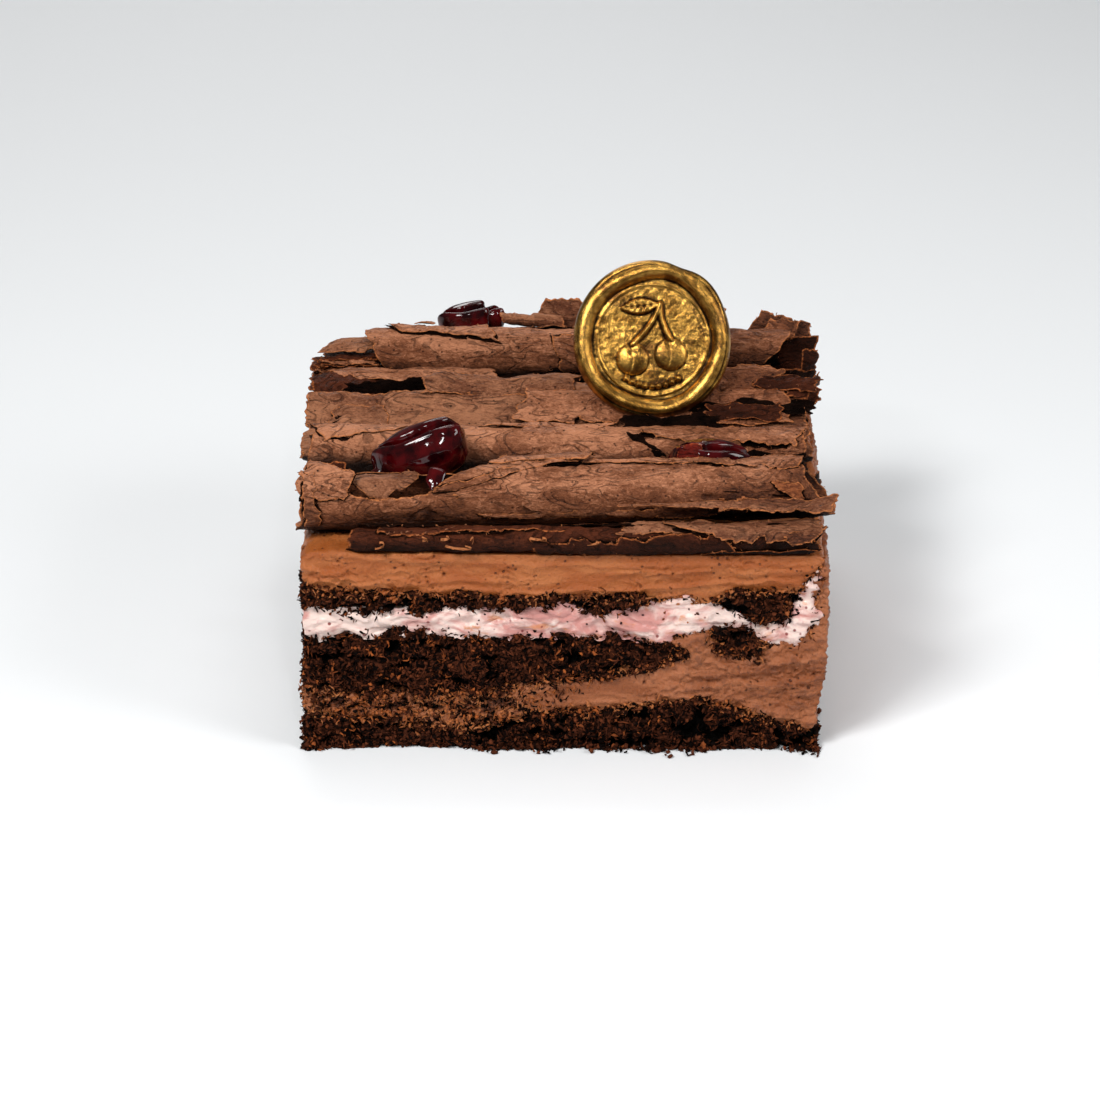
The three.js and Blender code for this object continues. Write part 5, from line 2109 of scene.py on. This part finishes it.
@dataclass
class Studio:
    """A pale floor, soft lights and the camera."""

    floor: Material
    camera_place: tuple[float, float, float] = (3.948, -806.647, 405.753)
    camera_down: float = 25.46
    camera_turn: float = 0.455
    focal_pixels: float = 4375.0
    image_pixels: float = 1100.0
    sensor: float = 36.0
    floor_reach: float = 3000.0

    def build(self) -> None:
        """Makes the floor, the lights, the world and the camera."""
        half = self.floor_reach
        corners = np.array([[-half, -half, 0], [half, -half, 0], [half, half, 0], [-half, half, 0]])
        floor = make_mesh("floor", corners, [[0, 1, 2, 3]], self.floor)
        self._camera()
        self._world()
        self._light("key", (-330, -430, 620), (220, 220), 4.8, (1.0, 0.99, 0.97))
        self._light("glint_left", (-230, -600, 520), (130, 30), 0.7, (1.0, 1.0, 1.0))
        self._light("glint_right", (60, -640, 560), (30, 130), 0.5, (1.0, 1.0, 1.0))
        for number, along in enumerate((60, 230, 400)):
            self._light(f"overhead_{number}", (40, along, 600), (460, 40), 0.36, (1.0, 0.995, 0.98))
        self._light("fill", (560, -260, 420), (300, 300), 2.2, (1.0, 0.99, 0.98))
        self._light("rear", (-120, 760, 380), (300, 200), 0.9, (1.0, 0.99, 0.98))

    def _camera(self) -> None:
        """Adds the camera, which looks down at the cut front."""
        data = bpy.data.cameras.new("camera")
        data.sensor_width = self.sensor
        data.lens = self.focal_pixels * self.sensor / self.image_pixels
        camera = show("camera", data)
        camera.location = Vector(CAKE.to_row(np.array(self.camera_place)))
        camera.rotation_euler = (math.radians(90.0 - self.camera_down), 0.0, math.radians(self.camera_turn))
        bpy.context.scene.camera = camera

    @staticmethod
    def _world() -> None:
        """Gives the room an even pale light."""
        world = bpy.data.worlds.new("studio")
        world.use_nodes = True
        back = world.node_tree.nodes["Background"]
        back.inputs["Color"].default_value = (1.0, 0.98, 0.96, 1.0)
        back.inputs["Strength"].default_value = 0.1
        bpy.context.scene.world = world
        bpy.context.scene.view_settings.view_transform = "Standard"

    @staticmethod
    def _light(name: str, place: tuple, sides: tuple, power: float, tint: tuple) -> None:
        """Adds a soft light that faces the middle of the cake.

        Args:
            name: The light's name.
            place: Where it stands.
            sides: Its width and height.
            power: Its power in watts.
            tint: Its colour.
        """
        data = bpy.data.lights.new(name, "AREA")
        data.shape = "RECTANGLE"
        data.size, data.size_y = sides[0] * MM, sides[1] * MM
        data.energy = power
        data.color = tint
        light = show(name, data)
        light.location = Vector(CAKE.to_row(np.array(place, float)))
        aim = Vector(CAKE.to_row(np.array([0.0, 0.0, 30.0]))) - light.location
        light.rotation_euler = aim.to_track_quat("-Z", "Y").to_euler()


# ---- the whole cake

@dataclass
class Block:
    """The layers of the block and the crumbs on its sponge."""

    sponge: Material
    mousse: Material
    lower_mousse: Material
    cream: Material
    cherry: Material
    shred_density: float = 4.35e6
    stray_density: float = 2.4e6
    smear_density: float = 2.2e6
    speck_density: float = 0.03e6
    smeared_side: dict[str, str] = field(default_factory=lambda: {"sponge_bottom": "edge_above",
        "sponge_middle": "edge_below", "sponge_middle_scrap": "edge_below", "sponge_top_left": "edge_above",
        "sponge_top_right": "edge_above"})

    def build(self, scatter: ScatterTree) -> None:
        """Makes every layer, then the shreds that cover the sponge and stray over its edges.

        Args:
            scatter: The tree that lays the shreds.
        """
        pieces = {layer.node: layer.build() for layer in self._layers()}
        rng = np.random.default_rng(5)
        shreds = shape_collection("shreds", [shred(rng, rng.uniform(1.3, 3.6), rng.uniform(0.26, 0.6))
            for _ in range(12)] + [crumb(rng, rng.uniform(0.7, 1.3)) for _ in range(3)])
        lumps = shape_collection("lumps", [crumb(rng, rng.uniform(0.4, 0.8)) for _ in range(6)])
        for number, (node, piece) in enumerate(pieces.items()):
            skin = open_skin(piece)
            sponge = node.startswith("sponge")
            mask = "lay" if sponge else "edge"
            density = self.shred_density if sponge else self.stray_density
            settle(scatter.lay(node + "_crumbs", skin, shreds, self.sponge, density, mask, number), "sponge")
            if node != "cherry_cream":
                settle(scatter.lay(node + "_smears", skin, shreds, self.mousse, self.smear_density,
                    self.smeared_side.get(node, "edge"), number + 40), "mousse")
            else:
                for name, finish, slot, seed in (("juice_specks", self.cherry, "cherry", 90),
                        ("dark_specks", self.sponge, "sponge", 91)):
                    settle(scatter.lay("cream_" + name, skin, lumps, finish, self.speck_density, "lay",
                        seed), slot)
            bpy.data.objects.remove(skin)
        drop_collection(shreds)
        drop_collection(lumps)

    def _sponge(self, node: str, seed: int, wander: float = 1.3) -> CutLayer:
        """A layer of sponge, whose edge strays as far as wander."""
        return CutLayer(node, LayerKind.SPONGE, self.sponge, 0.21, 0.2, wander, 1.0, seed,
            stray_size=(4.6, 4.6, 3.0))

    def _mousse(self, node: str, seed: int, finish: Material, top: bool, row_step: float,
            crests: tuple[Crest, ...], crumbly: tuple[float, float] = (-90.0, -80.0)) -> CutLayer:
        """A layer of mousse, with its crests and the part of it that is mixed with crumbs."""
        return CutLayer(node, LayerKind.MOUSSE, finish, 0.25, 1.2, 0.2, 0.0, seed, top, crests, row_step,
            crumbly=crumbly)

    def _layers(self) -> list[CutLayer]:
        """Every layer with its sizes.

        Returns:
            The layers, from the lowest up.
        """
        return [self._sponge("sponge_bottom", 1), self._mousse("mousse_lower", 2, self.lower_mousse, False,
            0.6, (Crest(26, 50, (13.6, 14.6, 14.2, 16.0), 0.7), Crest(30, 49, (18.6, 18.0, 19.2, 20.2), 0.6),
            Crest(22, 40, (16.2, 17.0, 17.4), 0.5), Crest(36, 51, (8.6, 8.0, 6.6), 0.7, 0.8)),
            (-16.0, 10.0)), self._sponge("sponge_middle", 3), self._sponge("sponge_middle_scrap", 4),
            CutLayer("cherry_cream", LayerKind.CREAM, self.cream, 0.28, 0.9, 0.6, 0.4, 5),
            self._sponge("sponge_top_left", 6, 1.8), self._sponge("sponge_top_right", 7, 1.4),
            self._mousse("mousse_top", 8, self.mousse, True, 0.9,
            (Crest(-50, 51, (43.4, 41.6, 40.7, 40.2, 40.3, 40.0, 40.4, 39.8, 40.6), 0.45),
            Crest(-50, -41, (39.6, 38.2, 38.8), 0.6, 0.35), Crest(-49, -38, (36.4, 37.4, 36.6), 0.5, 0.3),
            Crest(-42, -8, (35.4, 36.6, 36.0, 36.8, 36.2), 0.5, 0.3), Crest(-30, 6, (34.2, 34.8, 34.3, 34.9),
            0.4, 0.26), Crest(0, 47, (35.2, 34.8, 35.6, 36.4, 36.6), 0.55, 0.3),
            Crest(8, 30, (38.4, 38.9, 38.6, 39.2), 0.5, 0.3), Crest(32, 50, (38.6, 38.2, 39.8), 0.6, 0.4))),]


@dataclass
class FootCrumbs:
    """Crumbs that fell from the bottom sponge and lie on the floor round its foot."""

    material: Material
    count: int = 900
    reach: float = 0.6
    heaps: tuple[float, ...] = (-49.5, -13.0, -4.0, 9.0, 19.0, 27.0, 48.5)

    def build(self) -> None:
        """Lays the crumbs, most of them in small heaps in front."""
        rng = np.random.default_rng(17)
        points, faces, tones, total = [], [], [], 0
        for number in range(self.count):
            away = min(rng.exponential(self.reach), 4.5)
            if number % 3:
                across = rng.normal(rng.choice(self.heaps), 2.2)
                place = [np.clip(across, -50.5, 50.5), FRONT - 0.1 - away, 0.0]
            else:
                side = rng.choice([-50.2, 50.0])
                place = [side + math.copysign(0.4 * away, side), rng.uniform(FRONT, BACK), 0.0]
            bit, shell = (crumb(rng, rng.uniform(0.4, 1.5)) if number % 4 == 0
                else shred(rng, rng.uniform(0.9, 2.6), rng.uniform(0.26, 0.6)))
            bit = bit + place - [0.0, 0.0, bit[:, 2].min()]
            points.append(bit)
            faces += [[index + total for index in face] for face in shell]
            tones += [rng.random()] * len(bit)
            total += len(bit)
        piece = make_mesh("foot_crumbs", np.vstack(points), faces, self.material, {"tone": np.array(tones)})
        settle(piece, "sponge")


@dataclass
class Roof:
    """The rolls and sheets of chocolate, the layers torn from them and their splinters, and near-black
    strips and sheets that paint the shadows between them.
    """

    milk: Material
    deep: Material
    black: Material
    orange: Material
    shaded: Material
    torn_cherry: Material
    # Sheets given the deep shaded copy, a much darker chocolate that paints shade on sheets under or behind
    # others
    deep_shaded_names: tuple[str, ...] = ("curl_under_front", "curl_under_back", "flake_left_lower",
        "flake_left_upper", "flake_right_dark", "skin_under_left", "skin_under_middle", "skin_under_low",
        "scrap_right_c", "strip_third_dark", "plate_left_low", "plate_left_middle", "plate_left_upper",
        "sheet_right_high", "sheet_valley_left", "skin_back_left", "strip_right_shade", "plate_left_high",
        "curl_right_flared", "scrap_right_b")
    shaded_names: tuple[str, ...] = ("sheet_third", "skin_third_left", "skin_third_edge",
        "curl_valley_right", "flake_back_right", "flake_cherry", "plate_left_spike", "skin_under_right",
        "strip_under_cover", "flake_back_upright", "flake_back_middle", "curl_back_twisted",
        "sheet_front_right")
    # CAD sheets painted near black: painted shadow in the gaps where they lie
    painted_shadow_names: tuple[str, ...] = ("sheet_between", "curl_valley_middle", "sheet_right_low")
    # How far up each roll's lower side is painted near black: painted shade.
    dusk: tuple = (("_second", 0.6), ("_fourth", 0.0), ("_third", 0.5), ("_front", -0.38))
    splinter_density: float = 0.38e6

    def build(self, scatter: ScatterTree) -> None:
        """Makes every sheet and lays splinters along its torn edges.

        Args:
            scatter: The tree that lays the splinters.
        """
        sheets = [ChocolateSheet(node + "_sheet", shape, self._finish(node), SHEET_SEED + number, (node,))
            for number, (node, shape) in enumerate(SHEETS.items())]
        sheets += [ChocolateSheet(name, shape, self._finish(name), TORN_SEED + number, (), 0.6, 1.5, 0.62
            if name.startswith("crack") else 0.42) for number, (name, shape) in enumerate(TORN.items())]
        # A near-black sheet under each torn layer's edges: a painted shadow.
        sheets += [ChocolateSheet("gap_" + sheet.name, sheet.shape.gap(), self.black, sheet.seed, (), 0.15,
            1.0, 0.6, curl=0.0) for sheet in sheets if isinstance(sheet.shape, Skin)
            and sheet.material is not self.black]
        sheets += [ChocolateSheet(name, shape, self.orange, SHAVING_SEED + number, (), 0.3, 0.1, 0.2, 0.05,
            0.0) for number, (name, shape) in enumerate(shavings().items())]
        # Two layers in three take the deep shaded copy, the darker chocolate that paints shade.
        sheets += [ChocolateSheet(name, shape, self.deep if number % 3 else self.milk, STACK_SEED + number,
            (), 0.36, 0.9, curl=0.3) for number, (name, shape) in enumerate(broken_stack().items())]
        for sheet in sheets:
            sheet.dusk = next((level for part, level in self.dusk if part in sheet.name), -0.35)
            sheet.slot = "cherry" if sheet.material is self.torn_cherry else "curls"
        made = [sheet.build() for sheet in sheets]
        rng = np.random.default_rng(9)
        kinds = shape_collection("splinters", [shred(rng, rng.uniform(0.8, 2.0), rng.uniform(0.2, 0.42), 4.0)
            for _ in range(8)])
        joined = self._joined(made)
        splinters = scatter.lay("splinters", joined, kinds, self.milk, self.splinter_density, "torn", 77,
            (0.4, 1.0), 0.7)
        bpy.data.objects.remove(joined)
        drop_collection(kinds)
        settle(splinters, "curls")

    def _finish(self, name: str) -> Material:
        """The material that a sheet is given: its own chocolate, a shaded or deep shaded copy that paints
        shade, or near-black chocolate that paints shadow.

        Args:
            name: The sheet's name.

        Returns:
            Its material.
        """
        # Near-black strips and sheets: painted shadow
        if name in self.painted_shadow_names or name.startswith("crack"):
            return self.black
        if name in ("skin_front_patch", "scrap_chip", "skin_front_chip"):
            return self.orange
        if name in self.shaded_names:
            return self.shaded
        if name == "cheek_cherry":
            return self.torn_cherry
        return self.deep if name in self.deep_shaded_names else self.milk

    @staticmethod
    def _joined(pieces: list[Piece]) -> Piece:
        """One object with copies of the meshes of several.

        Args:
            pieces: The objects.

        Returns:
            The new object.
        """
        work = bmesh.new()
        for piece in pieces:
            work.from_mesh(piece.data)
        mesh = bpy.data.meshes.new("joined")
        work.to_mesh(mesh)
        work.free()
        return bpy.data.objects.new("joined", mesh)


def main() -> None:
    """Builds the cake piece by piece and reports each one."""
    logging.basicConfig(level=logging.INFO, format="%(name)s %(message)s")
    Studio(FloorFinish().build()).build()
    scatter = ScatterTree()
    cherry = CherryFinish().build()
    sponge = SpongeFinish().build()
    lower = MousseFinish((164, 98, 60), (142, 78, 40), (72, 32, 15), "lower_mousse").build()
    Block(sponge, MousseFinish().build(), lower, CreamFinish().build(), cherry).build(scatter)
    FootCrumbs(sponge).build()
    milk = ChocolateFinish("milk_chocolate", (194, 130, 95), (124, 72, 45), (46, 20, 10)).build()
    # Darker copies of the milk chocolate: painted shade for sheets that lie in shadow or under others
    shaded = ChocolateFinish("shaded_chocolate", (168, 112, 80), (108, 62, 40), (42, 18, 9)).build()
    deep = ChocolateFinish("deep_chocolate", (88, 43, 25), (54, 23, 11), (22, 8, 3), (184, 104, 58),
        0.07).build()
    # Near-black chocolate for the strips that paint shadows in gaps and under torn edges
    black = ChocolateFinish("black_chocolate", (26, 12, 7), (12, 5, 3), (5, 2, 1), (40, 19, 10),
        0.02).build()
    orange = ChocolateFinish("peeled_chocolate", (206, 132, 86), (160, 92, 54), (96, 48, 26)).build()
    torn_cherry = ChocolateFinish("torn_cherry", (150, 50, 24), (104, 22, 11), (52, 7, 5), (176, 76, 40),
        0.12).build()
    Roof(milk, deep, black, orange, shaded, torn_cherry).build(scatter)
    Cherry("cherry_left", (-27.7, -23.2, 53.7), 19.4, -22, 0, cherry, 51).build()
    Cherry("cherry_right", (29.6, -22.6, 51.2), 16.8, 6, 4, cherry, 52, wrinkled=0.05, blunt=0.9).build()
    Cherry("cherry_back", (-19.3, 48.2, 52.0), 15.2, -8, 8, cherry, 53, wrinkled=0.03, blunt=0.74,
        pinched=0.3).build()
    Syrup("syrup_drip", (-24.4, -35.9, 53.9), (-0.25, -0.75, -0.66), (0, -0.66, 0.75), (2.5, 1.8, 0.6),
        cherry).build()
    Syrup("syrup_left", (-36.2, -26.6, 50.6), (-0.8, -0.3, -0.5), (-0.4, -0.7, 0.6), (2.6, 1.3, 1.0),
        cherry).build()
    GoldSeal(GoldFinish().build()).build()


if __name__ == "__main__":
    main()
